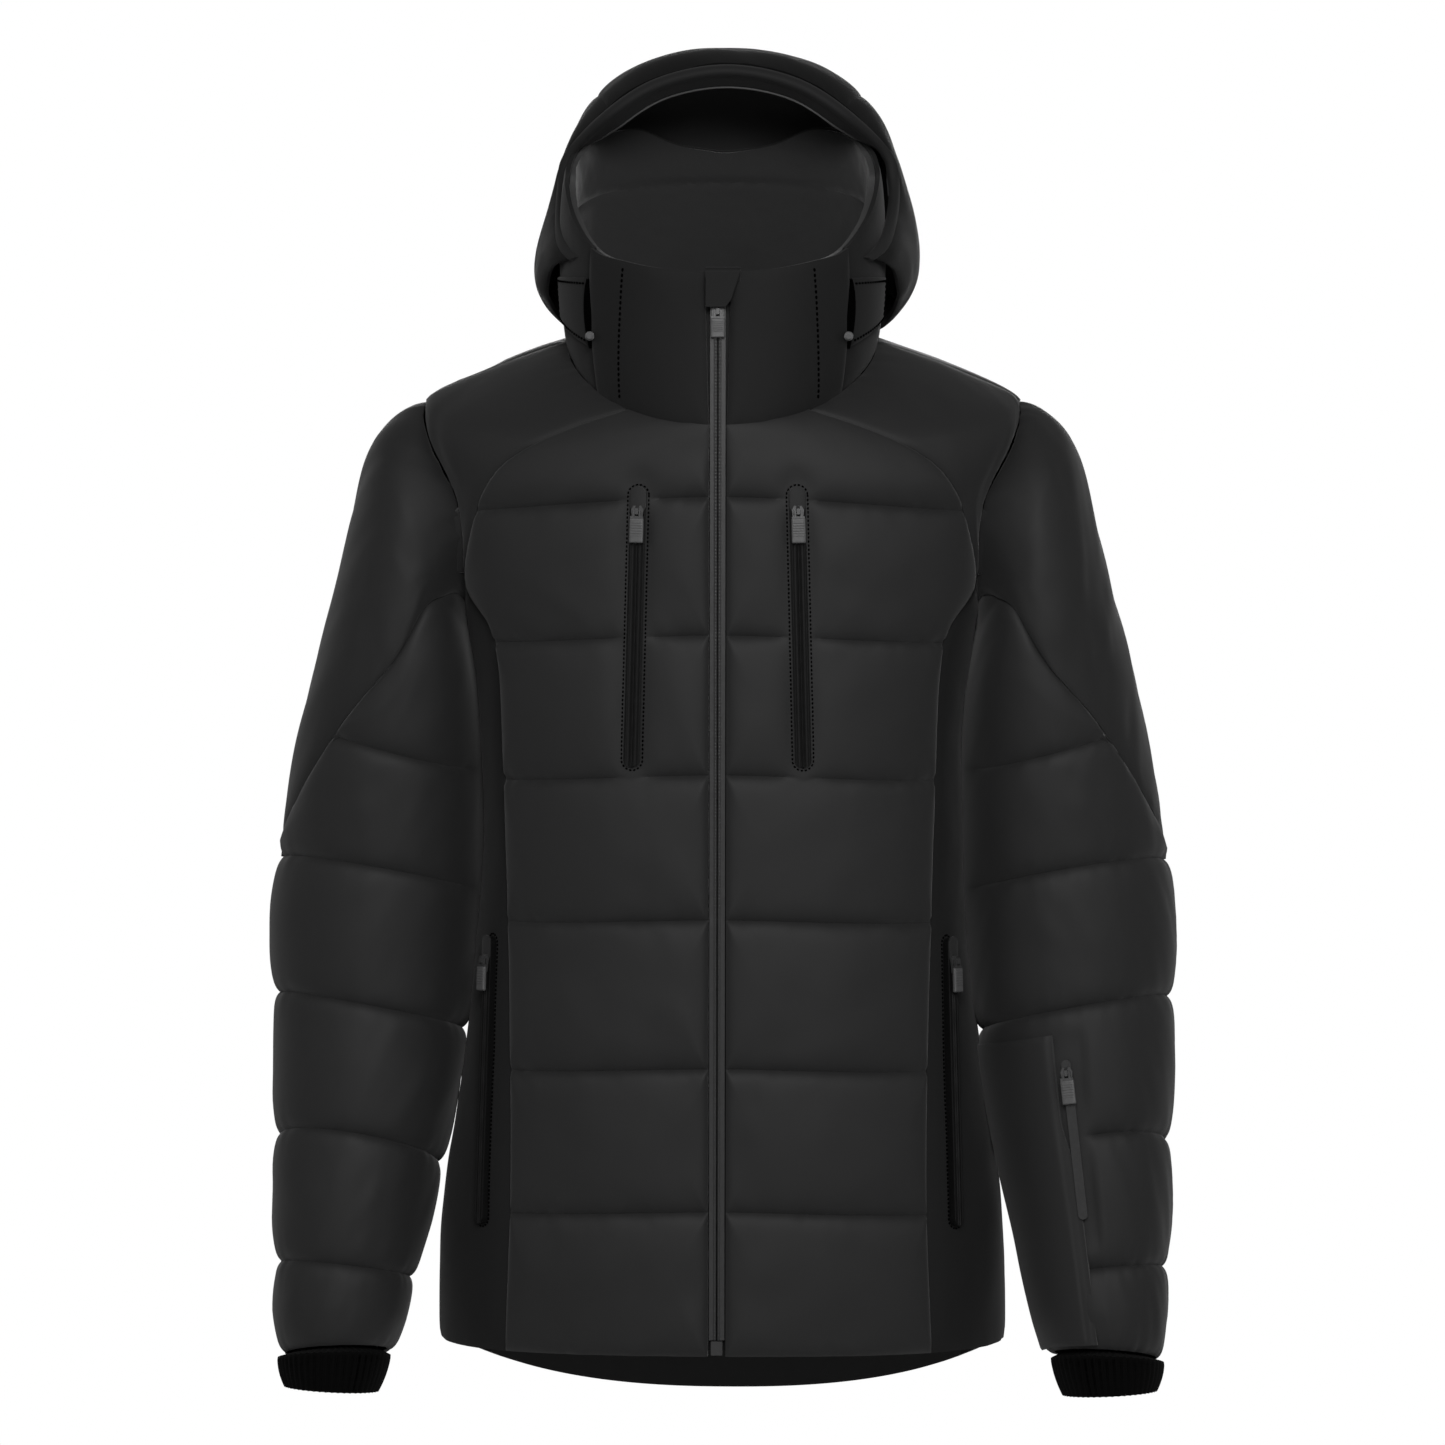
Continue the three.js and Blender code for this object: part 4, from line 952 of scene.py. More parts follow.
def collar(angle, t):
    """From the neck ring (t = 0) straight to the rim (t = 1), bowed out at the sides by 16 t (1 - t) mm."""
    angle, t = np.broadcast_arrays(np.asarray(angle, float), np.asarray(t, float))
    s, c = np.sin(np.radians(angle)), np.cos(np.radians(angle))
    height = rim_height(folded(angle))
    depth = np.where(c > 0, zip_y(height), RIM_BACK)
    rim = np.stack([RIM_HALF_WIDTH * power(s, 0.88), depth * power(c, 0.88), height], axis=-1)
    point = lerp(torso(angle, NECK), rim, t[..., None])
    point[..., 0] += COLLAR_BOW * t * (1 - t) * s * s * np.sign(s)
    return point


def collar_grid(start, end, columns, low=-0.03, high=1.0, rows=32):
    """A patch of the collar between two angles, tucked a little under the neck seam."""
    return collar(np.linspace(start, end, columns)[:, None], np.linspace(low, high, rows)[None])


COLLAR_PAD = dict(full=0.3, seam_depth=1.0, edge_depth=0.8, wavy=0.4, inner=4.0)
BAND_COLUMNS, FLEECE_COLUMNS = 44, 220
BAND_LIFT = 2.6  # the front bands stand this far proud of the collar's face
band = collar_grid(ZIP_EDGE, COLLAR_SPLIT, BAND_COLUMNS)
lift = BAND_LIFT * smooth(0, 1, np.linspace(0, 1.6, BAND_COLUMNS)[:, None, None])
band = band + lift * np.abs(normals_of(band)) * np.array([1.0, -1.0, 0.0])
collar_bands = {}
for word, side in SIDES:
    piece = padded_panel(f"collar_band_{word}", on_side(band, side), [], 81 + side, (0, 0, 760), **COLLAR_PAD)
    collar_bands[word] = dress(piece, "torso", "shell", collar_cloth, f"collar_front_{word}")
around = collar_grid(COLLAR_SPLIT, 360 - COLLAR_SPLIT, 150)
piece = padded_panel("collar_round", around, [], 85, (0, 0, 790), **COLLAR_PAD)
dress(piece, "torso", "shell", collar_cloth, "collar_back")


# %% Collar fleece
seam_height = through([0, 50, 90, 120, 150, 180], [762, 783, 818, 837, 847, 850])


def fleece_grids():
    """The fleece's seen face and its back. The face is a deep soft pile above a sewn seam, which is a groove,
    and lies lower beneath it."""
    first, last = ZIP_EDGE + 1, 359 - ZIP_EDGE
    base = collar_grid(first, last, FLEECE_COLUMNS, 0.03, 0.988, 48)
    u, v = lengths_of(base)
    pile = 0.25 * cloudy(u, v, 5, 91) + 0.9 * cloudy(u, v, 26, 92)
    below = seam_height(folded(np.linspace(first, last, FLEECE_COLUMNS)[:, None])) - base[..., 2]
    groove = 2.4 * np.exp(-(below**2) / 4.0) + 1.6 * smooth(-2, 4, below)
    n = normals_from(base * np.array([0.0, 0.0, 1.0]), base)
    return base - n * (8.6 + pile - groove)[..., None], base - n * 4.6


fleece = closed_panel("collar_fleece", *fleece_grids())
dress(fleece, "torso", "fleece", fleece_cloth, "collar_lining")
print("collar rim:", np.round(rim_height(np.array([0.0, 90, 146, 180])), 1))

# %% [markdown]
# ## Hood
# The hood is a net of fifty-six control points over its left half, mirrored over the crown. A Catmull-Rom
# surface goes through all of them. It hangs from the seam behind the neck, and its front edge falls just
# outside the collar.

# %% Hood surface
HOOD_NET = np.array(
    [
        [
            [0, -14, 932], [50, -12, 922], [89, -6, 898], [117, 26, 868],
            [124, 12, 836], [115, -44, 804], [91, -86, 785],
        ],
        [
            [0, 25, 947], [56, 24, 938], [99, 28, 909], [124, 33, 866],
            [131, 28, 826], [126, -32, 797], [109, -59, 781],
        ],
        [
            [0, 78, 945], [59, 77, 935], [104, 77, 905], [126, 74, 862],
            [138, 50, 812], [132, -10, 788], [120, -31, 776],
        ],
        [
            [0, 130, 908], [59, 124, 896], [106, 112, 870], [132, 100, 838],
            [143, 76, 798], [135, 10, 771], [123, -4, 765],
        ],
        [
            [0, 158, 850], [59, 150, 844], [107, 133, 828], [137, 112, 808],
            [144, 86, 781], [133, 32, 762], [124, 14, 758],
        ],
        [
            [0, 152, 792], [57, 143, 788], [103, 122, 780], [130, 98, 772],
            [137, 76, 764], [129, 44, 753], [121, 30, 750],
        ],
        [
            [0, 100, 756], [43, 95, 755], [78, 83, 752], [103, 66, 749],
            [120, 52, 746], [122, 46, 745], [118, 38, 744],
        ],
        [
            [0, 84, 747], [42, 79, 746], [75, 67, 744], [98, 50, 742],
            [112, 40, 740], [116, 38, 740], [114, 34, 740],
        ],
    ],
    float,
)
HOOD_SHIFT = 3.5  # the hood sits this far towards the wearer's left at its crown
NET_COLUMNS, NET_ROWS = 5, 6  # steps of the net from u = 0 to 1 and from v = 0 to 1


def padded_net(net):
    """The net with one more row and column each way, mirrored at the crown and straight on elsewhere."""
    crown = net[:, 1:2] * np.array([-1, 1, 1])
    wide = np.concatenate([crown, net, 2 * net[:, -1:] - net[:, -2:-1]], axis=1)
    return np.concatenate([2 * wide[:1] - wide[1:2], wide, 2 * wide[-1:] - wide[-2:-1]], axis=0)


HOOD_WIDE = padded_net(HOOD_NET)


def cubic_weights(t):
    """The four Catmull-Rom weights at a place t between the middle two points."""
    return 0.5 * np.stack(
        [-t + 2 * t**2 - t**3, 2 - 5 * t**2 + 3 * t**3, t + 4 * t**2 - 3 * t**3, -(t**2) + t**3], axis=-1
    )


def hood(u, v):
    """u is 0 at the crown, 1 where the hood turns in and 1.2 where it meets the collar; v is 0 at the front
    edge, 1 at the turn behind the neck and 7/6 at the neck seam: weights in both directions times the sixteen
    nearest points of the net."""
    u, v = np.broadcast_arrays(np.asarray(u, float), np.asarray(v, float))
    su, sv = np.abs(u) * NET_COLUMNS, np.maximum(v, 0) * NET_ROWS
    iu, iv = np.minimum(su.astype(int), NET_COLUMNS), np.minimum(sv.astype(int), NET_ROWS)
    wu, wv = cubic_weights(su - iu), cubic_weights(sv - iv)
    total = np.zeros((*u.shape, 3))
    for a in range(4):
        for b in range(4):
            total += (wv[..., a] * wu[..., b])[..., None] * HOOD_WIDE[iv + a, iu + b]
    total[..., 0] *= np.where(u < 0, -1, 1)
    total[..., 0] += HOOD_SHIFT * smooth(770, 850, total[..., 2])
    return total


HOOD_SEAM, BRIM = 0.38, 0.05  # u of the seam beside the crown panel, and v where the edge band ends
HOOD_BASE = 1.15  # v a little short of the neck seam
HOOD_ENDS = ([0, 100, 749], [0, 100, 795])  # the ends handed to bend for the hood; bend does not use them
HOOD_MIDDLE = np.array([0, 40, 830.0])


def hood_grid(u0, u1, v0, v1, columns, rows):
    """A patch of the hood."""
    return hood(np.linspace(u0, u1, columns)[:, None], np.linspace(v0, v1, rows)[None])


HOOD_PAD = dict(full=0.22, seam_depth=0.6, edge_depth=0.4, wavy=0.9, inner=3.0)
base = hood_grid(-HOOD_SEAM, HOOD_SEAM, BRIM, HOOD_BASE, 80, 124)
crown = padded_panel("hood_crown", base, [], 95, HOOD_MIDDLE, **HOOD_PAD)
bend(crown, "hood", HOOD_ENDS, "shell", hood_cloth_painted_shade, "hood_centre")
for word, side in SIDES:
    base = hood_grid(side * HOOD_SEAM, side * 1.07, BRIM, HOOD_BASE, 110, 124)
    cheek = padded_panel(f"hood_cheek_{word}", base, [], 96 + side, HOOD_MIDDLE, **HOOD_PAD)
    bend(cheek, "hood", HOOD_ENDS, "shell", hood_cloth_painted_shade, f"hood_side_{word}")
base = hood_grid(-0.76, 0.76, 0.03, 0.9, 120, 90)
n = normals_from(HOOD_MIDDLE, base)
folds = 1.2 * cloudy(*lengths_of(base), 30, 99)
# The lining's light colour is painted light inside the hood.
lining = closed_panel("hood_inside_painted_light", base - n * 6, base - n * (8 + folds)[..., None])
bend(lining, "hood", HOOD_ENDS, "lining", hood_inside_painted_light, "hood_lining")
print("hood pieces made")

# %% [markdown]
# ## Brim
# Round its opening the hood has a stiff band: shell cloth outside, rolled over the edge and faced inside with
# a lighter strip that ends in a thin piping. It is one profile carried along the front edge, and the facing
# narrows where the hood passes outside the collar.


# %% Brim
def brim_profile(width):
    """Closed loop of offsets (back along the hood, into the hood) for each place along the edge, where the
    facing has that width."""
    back = np.array([[9, 7, 3, 0, -1.6, -1.4, 0, 2, 3.4, 4.6, 5.6, 7, 8, 9]], float)
    into = np.array([[0.2, -1.2, -1.6, -1.0, 1.0, 3.4, 5, 0, 0, 0, 0, 7, 4.2, 3.6]], float)
    share = np.array([[0, 0, 0, 0, 0, 0, 0, 0.5, 0.92, 1.0, 0.9, 0, 0, 0]], float)
    return back, into + share * width[:, None]


t = np.linspace(-1.09, 1.09, 205)
edge, behind = hood(t, 0.0), hood(t, 0.04)
back_way = (behind - edge) / np.linalg.norm(behind - edge, axis=1, keepdims=True)
along = np.gradient(edge, axis=0)
into_way = np.cross(along, back_way)
into_way /= np.linalg.norm(into_way, axis=1, keepdims=True)
into_way *= np.sign(np.einsum("ij,ij->i", into_way, HOOD_MIDDLE + [0, 0, -40] - edge))[:, None]
width = lerp(15.0, 4.2, smooth(0.5, 0.72, np.abs(t)))


def beside_edge(back, into):
    """Places so far back along the hood and into it from each place of its edge."""
    return edge[:, None] + back[..., None] * back_way[:, None] + into[..., None] * into_way[:, None]


def sweep_quads(count, size):
    """Corner numbers of the quads between count closed rings of size points each."""
    i, j = np.meshgrid(np.arange(count - 1), np.arange(size), indexing="ij")
    a, b = i * size + j, i * size + (j + 1) % size
    return np.stack([a, b, b + size, a + size], axis=-1).reshape(-1, 4)


def closed_sweep(name, rings, sharp=60):
    """A solid from closed profile rings along a path, capped at both ends with fans."""
    count, size = rings.shape[:2]
    points = rings.reshape(-1, 3)
    ends = rings[[0, -1]].mean(axis=1)
    quads = sweep_quads(count, size)
    k = np.arange(size)
    first = np.stack([(k + 1) % size, k, np.full(size, count * size)], axis=-1)
    last = (count - 1) * size + np.stack([k, (k + 1) % size, np.full(size, size + 1)], axis=-1)
    points = np.concatenate([points, ends])
    corners = points[quads]
    volume = np.einsum("ij,ij->i", corners[:, 0], np.cross(corners[:, 1], corners[:, 2])).sum()
    volume += np.einsum("ij,ij->i", corners[:, 0], np.cross(corners[:, 2], corners[:, 3])).sum()
    faces = quads.tolist() + first.tolist() + last.tolist()
    if volume < 0:
        faces = [face[::-1] for face in faces]
    u, v = lengths_of(np.concatenate([rings, rings[:, :1]], axis=1))
    uv = np.stack([v[:, :-1].ravel(), u[:, :-1].ravel()], axis=1)
    return new_object(name, points, faces, np.concatenate([uv, np.zeros((2, 2))]), sharp)


brim = closed_sweep("hood_edge_band", beside_edge(*brim_profile(width)))
bend(brim, "hood", HOOD_ENDS, "shell", brim_cloth, "hood_brim")
PIPING, PIPING_END = 0.8, 0.66  # the piping's radius, and u where it ends
turn = np.linspace(0, 2 * np.pi, 9)[None, :-1]
bead = beside_edge(4.0 + PIPING * np.cos(turn), (width + PIPING)[:, None] + PIPING * np.sin(turn))
piping = closed_sweep("hood_piping", bead[np.abs(t) < PIPING_END])
bend(piping, "hood", HOOD_ENDS, "shell", piping_cloth)
print("rings along the hood's edge:", len(t))

# %% [markdown]
# ## Zips
# Every zip's place comes from the joints: its slider travels down the zip, and its pull swings on a pin that
# lies across it. Those two axes and the pin give a small frame of their own for each zip, in which x runs
# across, y into the jacket and z up.


# %% Zip frames and helpers
joints = {joint["name"]: joint for joint in frame["joints"]}
SLIDER_Z = {"main": 18.6, "chest": 8.0, "hand": 8.0, "pass": 8.0}  # slider's height above its lowest place
FOOT = {"main": 1.0, "chest": -3.0, "hand": -7.0, "pass": -4.5}  # how far its foot is inwards of the zip line
PIN_OUT, PIN_UP = 3.1, 2.5  # the pin's place from the slider's foot


def zip_frame(name):
    """Origin at the zip's bottom and the three axes, in jacket millimetres, and the slider's height."""
    kind = name.split("_")[0]
    slide, swing = joints[f"{name}_zip_slide"], joints[f"{name}_pull_swing"]
    up, across = (-np.array(joint["axis"], float) for joint in (slide, swing))
    up, across = up / np.linalg.norm(up), across / np.linalg.norm(across)
    inward = np.cross(up, across)
    pin = np.array(swing["pos_m"], float) * 1000 + LOOP
    slider = slide["range_m"][1] * 1000 + SLIDER_Z[kind]
    origin = pin - (FOOT[kind] - PIN_OUT) * inward - (slider + PIN_UP) * up
    return origin, across, inward, up, slider


def placed(zip_axes, local):
    """Local x, y, z of a zip to jacket millimetres."""
    origin, across, inward, up = zip_axes[:4]
    local = np.asarray(local, float)
    return origin + local[..., :1] * across + local[..., 1:2] * inward + local[..., 2:] * up


def strip(zip_axes, name, width, z0, z1, height, back, columns=40, rows=160, round_ends=True):
    """A strip along a zip. height(x, z) gives how far its face stands out; back is its flat rear. Round ends
    narrow the strip as a circle does."""
    r = width / 2
    z = np.linspace(z0, z1, rows)
    if round_ends:
        near_end = np.minimum(1, np.maximum(0, 1 - np.minimum(z - z0, z1 - z) / r))
        half = r * np.sqrt(np.maximum(1e-4, 1 - near_end**2))
    else:
        half = np.full(rows, r)
    x = np.linspace(-1, 1, columns)[:, None] * half[None]
    z = np.broadcast_to(z, x.shape)
    face = np.stack([x, -height(x, z), z], axis=-1)
    rear = np.stack([x, np.full_like(x, -back), z], axis=-1)
    return closed_panel(name, placed(zip_axes, face), placed(zip_axes, rear), sharp=40)


def snapped(piece, points, lift):
    """Points moved to the nearest place on a piece, lift mm out of it, with the normals found there."""
    found = [piece.closest_point_on_mesh(Vector(point)) for point in to_frame(points)]
    where, normal = (np.array([place[k] for place in found]) for k in (1, 2))
    return where * 1000 + LOOP + lift * normal, normal


STITCH_RINGS = np.array([-0.5, -0.28, 0.28, 0.5])  # a bar's rings along its length
STITCH_WIDTHS = np.array([0.45, 1, 1, 0.45])  # and how wide each is
SQUARE = np.array([[-0.5, -0.5], [0.5, -0.5], [0.5, 0.5], [-0.5, 0.5]])
BAR_ENDS = [[3, 2, 1, 0], [12, 13, 14, 15]]


def stitches(name, piece, path, body, pitch=4.0, length=2.5, width=1.4, height=0.9, lift=0.2):
    """A dashed seam: short bars with narrowed ends at equal steps along a path, laid on a piece."""
    path = np.asarray(path, float)
    run = np.r_[0, np.cumsum(np.linalg.norm(np.diff(path, axis=0), axis=1))]
    at = np.arange(pitch / 2, run[-1], pitch)
    spots, ahead = (
        np.stack([np.interp(place, run, path[:, k]) for k in range(3)], axis=1) for place in (at, at + 0.5)
    )
    centre, normal = snapped(piece, spots, lift)
    way = ahead - spots
    way -= np.einsum("ij,ij->i", way, normal)[:, None] * normal
    way /= np.maximum(np.linalg.norm(way, axis=1, keepdims=True), 1e-9)
    axes = np.stack([way, np.cross(normal, way), normal], axis=1)
    bar = np.empty((4, 4, 3))
    bar[..., 0] = STITCH_RINGS[:, None] * length
    bar[..., 1:] = STITCH_WIDTHS[:, None, None] * SQUARE * [width, height]
    bars = centre[:, None, None] + np.einsum("rck,nkx->nrcx", bar, axes)
    template = np.concatenate([sweep_quads(4, 4), BAR_ENDS])
    faces = (template[None] + 16 * np.arange(len(at))[:, None, None]).reshape(-1, 4)
    seam = new_object(name, bars.reshape(-1, 3), faces.tolist(), sharp=180)
    return dress(seam, body, "shell", thread_and_slit_shade_finish)


# %% Main zip
main = zip_frame("main")
TAPE_FRONT, TAPE_BACK = 1.4, 3.6
TAPE_LOW, TAPE_HIGH = 12, 772


def tape_height(x, z):
    """The coil side of a coated tape: a rounded bead at the joint line, a flat tape, fine cross ribs."""
    bead = 0.75 * np.exp(-((np.abs(x) - 1.5) ** 2) / 0.5)
    return -TAPE_FRONT + bead + 0.12 * np.cos(2 * np.pi * z / 2.5) * (np.abs(x) < 2.6)


for word, side in SIDES:
    x = side * lerp(0.55, 5.6, np.linspace(0, 1, 22))[:, None]
    x, z = np.broadcast_arrays(x, np.linspace(TAPE_LOW, TAPE_HIGH, 1217)[None])
    face = np.stack([x, -tape_height(x, z), z], axis=-1)
    rear = face.copy()
    rear[..., 1] = TAPE_BACK
    tape = closed_panel(f"main_tape_{word}", placed(main, face), placed(main, rear), sharp=40)
    dress(tape, "torso", "zip_tape", tape_finish, f"zip_tape_{word}")
placket = strip(main, "zip_placket", 34, 4, 782, lambda x, z: np.full_like(x, -7.2), -9.0, 12, 60, False)
dress(placket, "torso", "lining", welt_cloth)
print("main zip length:", round(float(main[4] + 9)), "mm")

# %% [markdown]
# ## Pocket zips
# A pocket zip lies in a black slot with round ends, between two narrow lips. A rounded patch of shell cloth
# covers its top end, and a dashed seam runs round the whole opening. The padding is held down beside it.


# %% Pocket zips
def welt_height(lift):
    """Lips along both edges, a lower floor between them, and a double bead for the closed coils."""

    def height(x, z):
        lips = 0.7 * np.exp(-((np.abs(x) - 4.6) ** 2) / 0.7)
        coils = 0.8 * np.exp(-((np.abs(x) - 1.1) ** 2) / 0.35)
        return lift + 0.5 + lips + coils * (1 + 0.1 * np.cos(2 * np.pi * z / 1.4))

    return height


def garage_height(width, lift):
    """A dome across the patch over the zip's top end: a circle's height by its width."""

    def height(x, z):
        return lift + 1.5 + 0.9 * np.sqrt(np.maximum(0.02, 1 - (x / (width / 2)) ** 2))

    return height


def outline(width, z0, z1, y):
    """Points round a strip with round ends."""
    r = width / 2
    a = np.linspace(0, np.pi, 24)
    arc = np.stack([r * np.cos(a), np.full(24, y), r * np.sin(a)], axis=1)
    top, low = arc + [0, 0, z1 - r], arc * [-1, 1, -1] + [0, 0, z0 + r]
    return np.concatenate([top, low, top[:1]])


SEAM_GAP = 1.7  # from the slot's edge to the dashed seam
for kind, width, lift in (("chest", 12.0, 1.2), ("hand", 11.0, 5.2)):
    for word, side in SIDES:
        axes = zip_frame(f"{kind}_{word}")
        length = axes[4] + 20
        welt = strip(axes, f"{kind}_welt_{word}", width, 0, length, welt_height(lift), -1.5)
        dress(welt, "torso", "zip_tape", welt_cloth, f"{kind}_zip_{word}")
        patch_ends, dome = (length - 19, length + 0.6), garage_height(width, lift)
        patch = strip(axes, f"{kind}_garage_{word}", width - 0.6, *patch_ends, dome, lift + 0.8, 24, 40)
        dress(patch, "torso", "shell", shell_cloth)
        ground = fronts[word] if kind == "chest" else flanks[word]
        path = placed(axes, outline(width + 2 * SEAM_GAP, -SEAM_GAP, length + SEAM_GAP, -lift))
        stitches(f"{kind}_seam_{word}", ground, path, "torso", pitch=3.0, length=1.8, width=1.1)
print("pocket zips:", 4)


# %% Grips on the pulls
GRIP_HALF, GRIP_THICK, GRIP_TOP = 5.1, 1.55, 5.0  # half width, half thickness, and its top below the pin
GRIP_LENGTH = {"main": 14.0, "chest": 18.0, "hand": 18.0, "pass": 18.0}


def grip(name, zip_name, body):
    """A rounded cover over a pull: a superellipse section whose front has equal cross ribs, closed at both
    ends. Local z hangs from the pin."""
    axes = zip_frame(zip_name)
    kind = zip_name.split("_")[0]
    pin = np.array([0, FOOT[kind] - PIN_OUT, axes[4] + PIN_UP])
    t = np.linspace(0, 1, 110)
    z = -GRIP_TOP - GRIP_LENGTH[kind] * t
    end = np.minimum(1, np.minimum(t, 1 - t) / 0.07)
    squeeze = np.sqrt(np.maximum(0.0025, 1 - (1 - end) ** 2))
    a = np.linspace(0, 2 * np.pi, 65)[:-1]
    x = GRIP_HALF * power(np.cos(a), 0.32)[None] * lerp(0.86, 1.0, squeeze)[:, None]
    front = np.sin(a)[None] < 0
    bulge = power(np.sin(a), 0.55)[None]
    ribs = 0.28 * np.clip(np.cos(2 * np.pi * (t - 0.18) / 0.105), -0.2, 1) * ((t > 0.15) & (t < 0.72))
    y = GRIP_THICK * bulge * squeeze[:, None] - front * ribs[:, None] * (np.abs(x) < 3.9) * np.abs(bulge)
    rings = np.stack([x, y, np.broadcast_to(z[:, None], x.shape)], axis=-1) + pin
    cover = closed_sweep(name, placed(axes, rings), sharp=50)
    return dress(cover, body, "gunmetal", grip_finish)


for zip_name in ("main", "chest_left", "chest_right", "hand_left", "hand_right", "pass"):
    grip(f"{zip_name}_grip", zip_name, f"{zip_name}_pull")
print("grips:", 6)

# %% [markdown]
# ## Collar trim
# On each side of the collar a stitched tab holds a small cord lock, in a slit beside the front band. A flap
# is folded over the top of the main zip to keep it off the chin.


# %% Collar tabs, slits and the chin guard
def on_collar(angle, t, out):
    """A place on the collar's outer face, out mm proud of it."""
    angle, t = np.broadcast_arrays(np.asarray(angle, float), np.asarray(t, float))
    p = collar(angle, t)
    along = collar(angle + 0.2, t) - collar(angle - 0.2, t)
    up = collar(angle, t + 0.004) - collar(angle, t - 0.004)
    n = np.cross(along, up)
    n /= np.linalg.norm(n, axis=-1, keepdims=True)
    n *= np.sign((n[..., :2] * p[..., :2]).sum(-1))[..., None]
    return p + n * np.asarray(out)[..., None]


def collar_t(angle, height):
    """The share of the collar's height at which its face reaches a height."""
    low = torso(angle, NECK)[..., 2]
    return (height - low) / (rim_height(angle) - low)


TAB_START, TAB_END, TAB_TOP = 51.5, 81.0, 780  # the tab's first and last angle, and its level top
TAB_LOW_FRONT, TAB_LOW_BACK = 730, 749  # heights of its lower edge
SLIT_ANGLE, SLIT_LOW, SLIT_HIGH = 50.6, 729, 779


def tab_place(u, v, out):
    """A place on a tab: u from the slit to the outer edge, v from the lower edge to the level top."""
    angle = lerp(TAB_START, TAB_END, u)
    height = lerp(lerp(TAB_LOW_FRONT, TAB_LOW_BACK, u), TAB_TOP, v)
    return on_collar(angle, collar_t(angle, height), out)


def tab_grid(out):
    """Tab: level top edge, upright outer edge, and a lower edge that climbs to the back."""
    u = np.linspace(0, 1, 40)[:, None]
    v = np.linspace(0, 1, 30)[None]
    edge = np.minimum(np.minimum(u, 1 - u), np.minimum(v, 1 - v))
    return tab_place(u, v, out + 0.9 * np.sqrt(np.clip(edge / 0.05, 0, 1)))


def slit_shade_grid(out):
    """A near-black lens between the front band and the tab, painted shade where the slit opens: its half width
    shrinks as a cosine to both ends.
    """
    u = np.linspace(-1, 1, 14)[:, None]
    v = np.linspace(0, 1, 40)[None]
    half = 2.1 * np.sin(np.pi * np.clip(v, 0.01, 0.99)) ** 0.8
    return on_collar(SLIT_ANGLE + u * half, collar_t(SLIT_ANGLE, lerp(SLIT_LOW, SLIT_HIGH, v)), out)


def tab_seam(out):
    """A path inside the tab's top, outer and lower edges."""
    u, v = np.linspace(0.02, 0.93, 50), np.linspace(0.92, 0.08, 40)
    return np.concatenate([tab_place(u, 0.92, out), tab_place(0.93, v, out), tab_place(u[::-1], 0.08, out)])


def band_seam(out):
    """A path up the front band, 74 mm beside the zip at the neck and 66 mm at the rim."""
    t = np.linspace(0.03, 0.97, 60)
    angle = np.degrees(np.arcsin((lerp(74, 66, t) / 116) ** (1 / 0.9)))
    return on_collar(angle, t, out)


for word, side in SIDES:
    tab = closed_panel(f"lock_tab_{word}", on_side(tab_grid(2.2), side), on_side(tab_grid(0.2), side))
    dress(tab, "torso", "shell", collar_cloth, f"collar_tab_{word}")
    slit = closed_panel(f"lock_slit_shade_{word}", on_side(slit_shade_grid(3.5), side), on_side(slit_shade_grid(0.5), side))
    # The slit's lens takes the near-black finish as painted shade of the opening.
    dress(slit, "torso", "shell", thread_and_slit_shade_finish)
    stitches(f"tab_seam_{word}", tab, on_side(tab_seam(3.2), side), "torso")
    stitches(f"collar_seam_{word}", collar_bands[word], on_side(band_seam(4.5), side), "torso")


GUARD_LOW, GUARD_FOLD, GUARD_RADIUS = 760.4, 785.4, 3.8
GUARD_RIGHT = ([GUARD_LOW, 766, 787], [5.6, 9.8, 16.6])  # heights of its stepped edge, and x there


def guard_grid(depth):
    """The flap hangs in front of the zip, folds over the collar's rim in a half circle and goes down behind.
    Its left edge is straight and its right edge is stepped."""
    turn = np.linspace(0, np.pi, 17)
    radius = GUARD_RADIUS - depth
    y = np.r_[np.full(24, -radius), -radius * np.cos(turn), np.full(6, radius)] - 2.6
    front, behind = np.linspace(GUARD_LOW + depth, GUARD_FOLD, 24), np.linspace(785, 779, 6)
    z = np.r_[front, GUARD_FOLD + radius * np.sin(turn), behind]
    right = np.interp(np.r_[front, np.full(23, 787)], *GUARD_RIGHT)
    x = lerp(-8.7 + depth / 4, right[None] - depth / 4, np.linspace(0, 1, 30)[:, None])
    return np.stack(np.broadcast_arrays(x, y[None], z[None]), axis=-1)


guard = closed_panel("chin_flap", placed(main, guard_grid(0)), placed(main, guard_grid(1.7)))
dress(guard, "torso", "shell", collar_cloth, "chin_guard")
print("collar trim made")


# %% Pass pocket on the left forearm
PANEL_WIDTH, PANEL_HEIGHT, PANEL_AT_ZIP = 60, 240, 2.2


def pass_grid(out):
    """A plain panel over the inner half of the forearm, from the cuff to the third stitch line."""
    u = np.linspace(0, 1, 50)[:, None]
    v = np.linspace(0, 1, 90)[None]
    angle = lerp(101 + 6 * smooth(0.55, 0.75, v), 182, u)
    ring = lerp(14.9, 10.1, v)
    across, down = np.broadcast_arrays(u * PANEL_WIDTH, v * PANEL_HEIGHT)
    edge = np.minimum(np.minimum(across, PANEL_WIDTH - across), np.minimum(down, PANEL_HEIGHT - down))
    rise = out + np.sqrt(np.clip(edge / 4, 0, 1)) + 0.8 * cloudy(across, down, 38, 131)
    rise = lerp(min(out, PANEL_AT_ZIP), rise, smooth(104.5, 110, angle))
    base = sleeve(angle, ring)
    middle = sleeve(np.linspace(0, 360, 40)[:, None], ring).mean(axis=0)
    return base + rise[..., None] * normals_from(middle[None], base)


pocket = closed_panel("pass_panel", pass_grid(4.6), pass_grid(-1.5))
dress(pocket, "sleeve_left", "shell", sleeve_cloth, "sleeve_pocket_left")
print("pass pocket made")

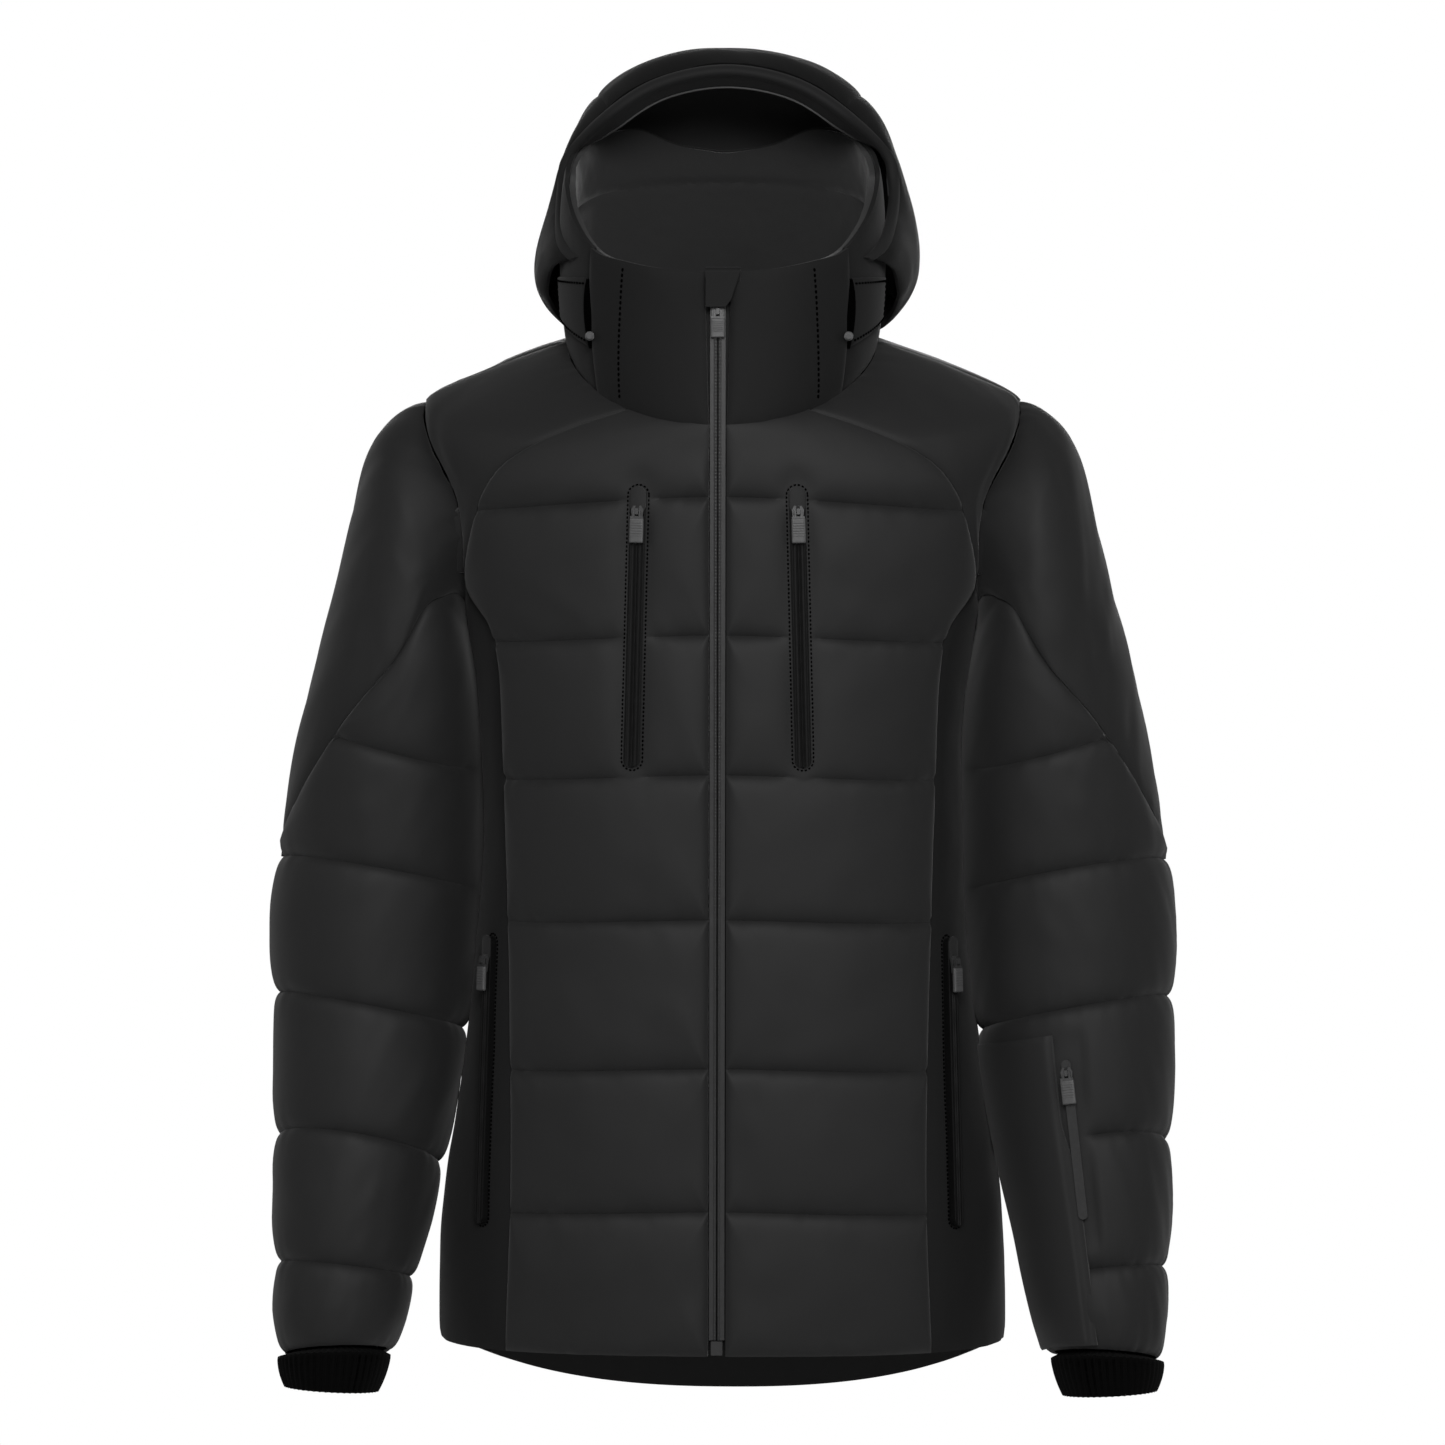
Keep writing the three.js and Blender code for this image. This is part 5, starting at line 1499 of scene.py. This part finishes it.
# %% [markdown]
# ## What the engineering model already gives
# Linings, pocket bags, the hanger loop and the small hardware keep their engineering shapes, and get finishes
# by the record's own slots.

# %% Finishes for the nodes that stay
slot_finish = {
    "shell": shell_cloth,
    "lining": lining_cloth,
    "fleece": fleece_cloth,
    "knit": knit_cloth,
    "zip_tape": tape_finish,
    "gunmetal": metal_finish,
    "moulded": moulded_finish,
}
slot_of = {part["node"]: part["material_slot"] for part in frame["record"]["subparts"]}
for name, node in frame["nodes"].items():
    node.data.materials.clear()
    node.data.materials.append(metal_finish if name.startswith("cord_lock") else slot_finish[slot_of[name]])
print("finished nodes:", len(frame["nodes"]))

# %% [markdown]
# ## Studio
# Dark cloth on a white ground needs large soft lights: one above and in front gives every baffle a light
# upper half and a dark lower one, two weak ones at the sides draw the sleeves off the body, and one behind
# shows the back. The camera sees the floor and surroundings white, but they light the cloth only a little.


# %% Floor, surroundings and lights
def light(name, place, target, size, watts):
    """A square area lamp at a place, turned to its target, with its size in metres and its power in watts."""
    data = bpy.data.lights.new(name, "AREA")
    data.shape, data.size, data.energy = "SQUARE", size, watts
    lamp = bpy.data.objects.new(name, data)
    lamp.location = place
    lamp.rotation_euler = (Vector(target) - Vector(place)).to_track_quat("-Z", "Y").to_euler()
    bpy.context.scene.collection.objects.link(lamp)


low_z = cad_box[0][2] - 0.25
bpy.ops.mesh.primitive_plane_add(size=60, location=(0, 0, low_z))
floor = bpy.context.object
floor.name = "floor"
white = bpy.data.materials.new("floor_white")
white.use_nodes = True
tree = white.node_tree
paint = tree.nodes["Principled BSDF"]
paint.inputs["Base Color"].default_value = (0.5, 0.5, 0.5, 1)
paint.inputs["Roughness"].default_value = 0.9
glow = tree.nodes.new("ShaderNodeEmission")
glow.inputs["Color"].default_value = (1, 1, 1, 1)
seen = tree.nodes.new("ShaderNodeLightPath")
choice = tree.nodes.new("ShaderNodeMixShader")
tree.links.new(seen.outputs["Is Camera Ray"], choice.inputs[0])
tree.links.new(paint.outputs[0], choice.inputs[1])
tree.links.new(glow.outputs[0], choice.inputs[2])
tree.links.new(choice.outputs[0], tree.nodes["Material Output"].inputs["Surface"])
floor.data.materials.append(white)

SKY_ON_CLOTH = 0.16
world = bpy.data.worlds.new("studio")
world.use_nodes = True
sky_tree = world.node_tree
sky = sky_tree.nodes["Background"]
seen = sky_tree.nodes.new("ShaderNodeLightPath")
strength = sky_tree.nodes.new("ShaderNodeMapRange")
strength.inputs["To Min"].default_value = SKY_ON_CLOTH
strength.inputs["To Max"].default_value = 1.0
sky_tree.links.new(seen.outputs["Is Camera Ray"], strength.inputs["Value"])
sky_tree.links.new(strength.outputs[0], sky.inputs["Strength"])
sky.inputs["Color"].default_value = (1, 1, 1, 1)
bpy.context.scene.world = world
light("key_front", (0.35, -3.5, 1.4), (0, -0.1, -0.35), 1.6, 75)
light("back_wall", (0, 3.6, 0.2), (0, 0.1, -0.35), 1.8, 60)
for word, side in SIDES:
    light(f"fill_{word}", (2.6 * side, -1.6, 0.8), (0.1 * side, -0.1, -0.3), 1.4, 8)
bpy.context.scene.view_settings.view_transform = "Standard"
print("lights:", len(bpy.data.lights))
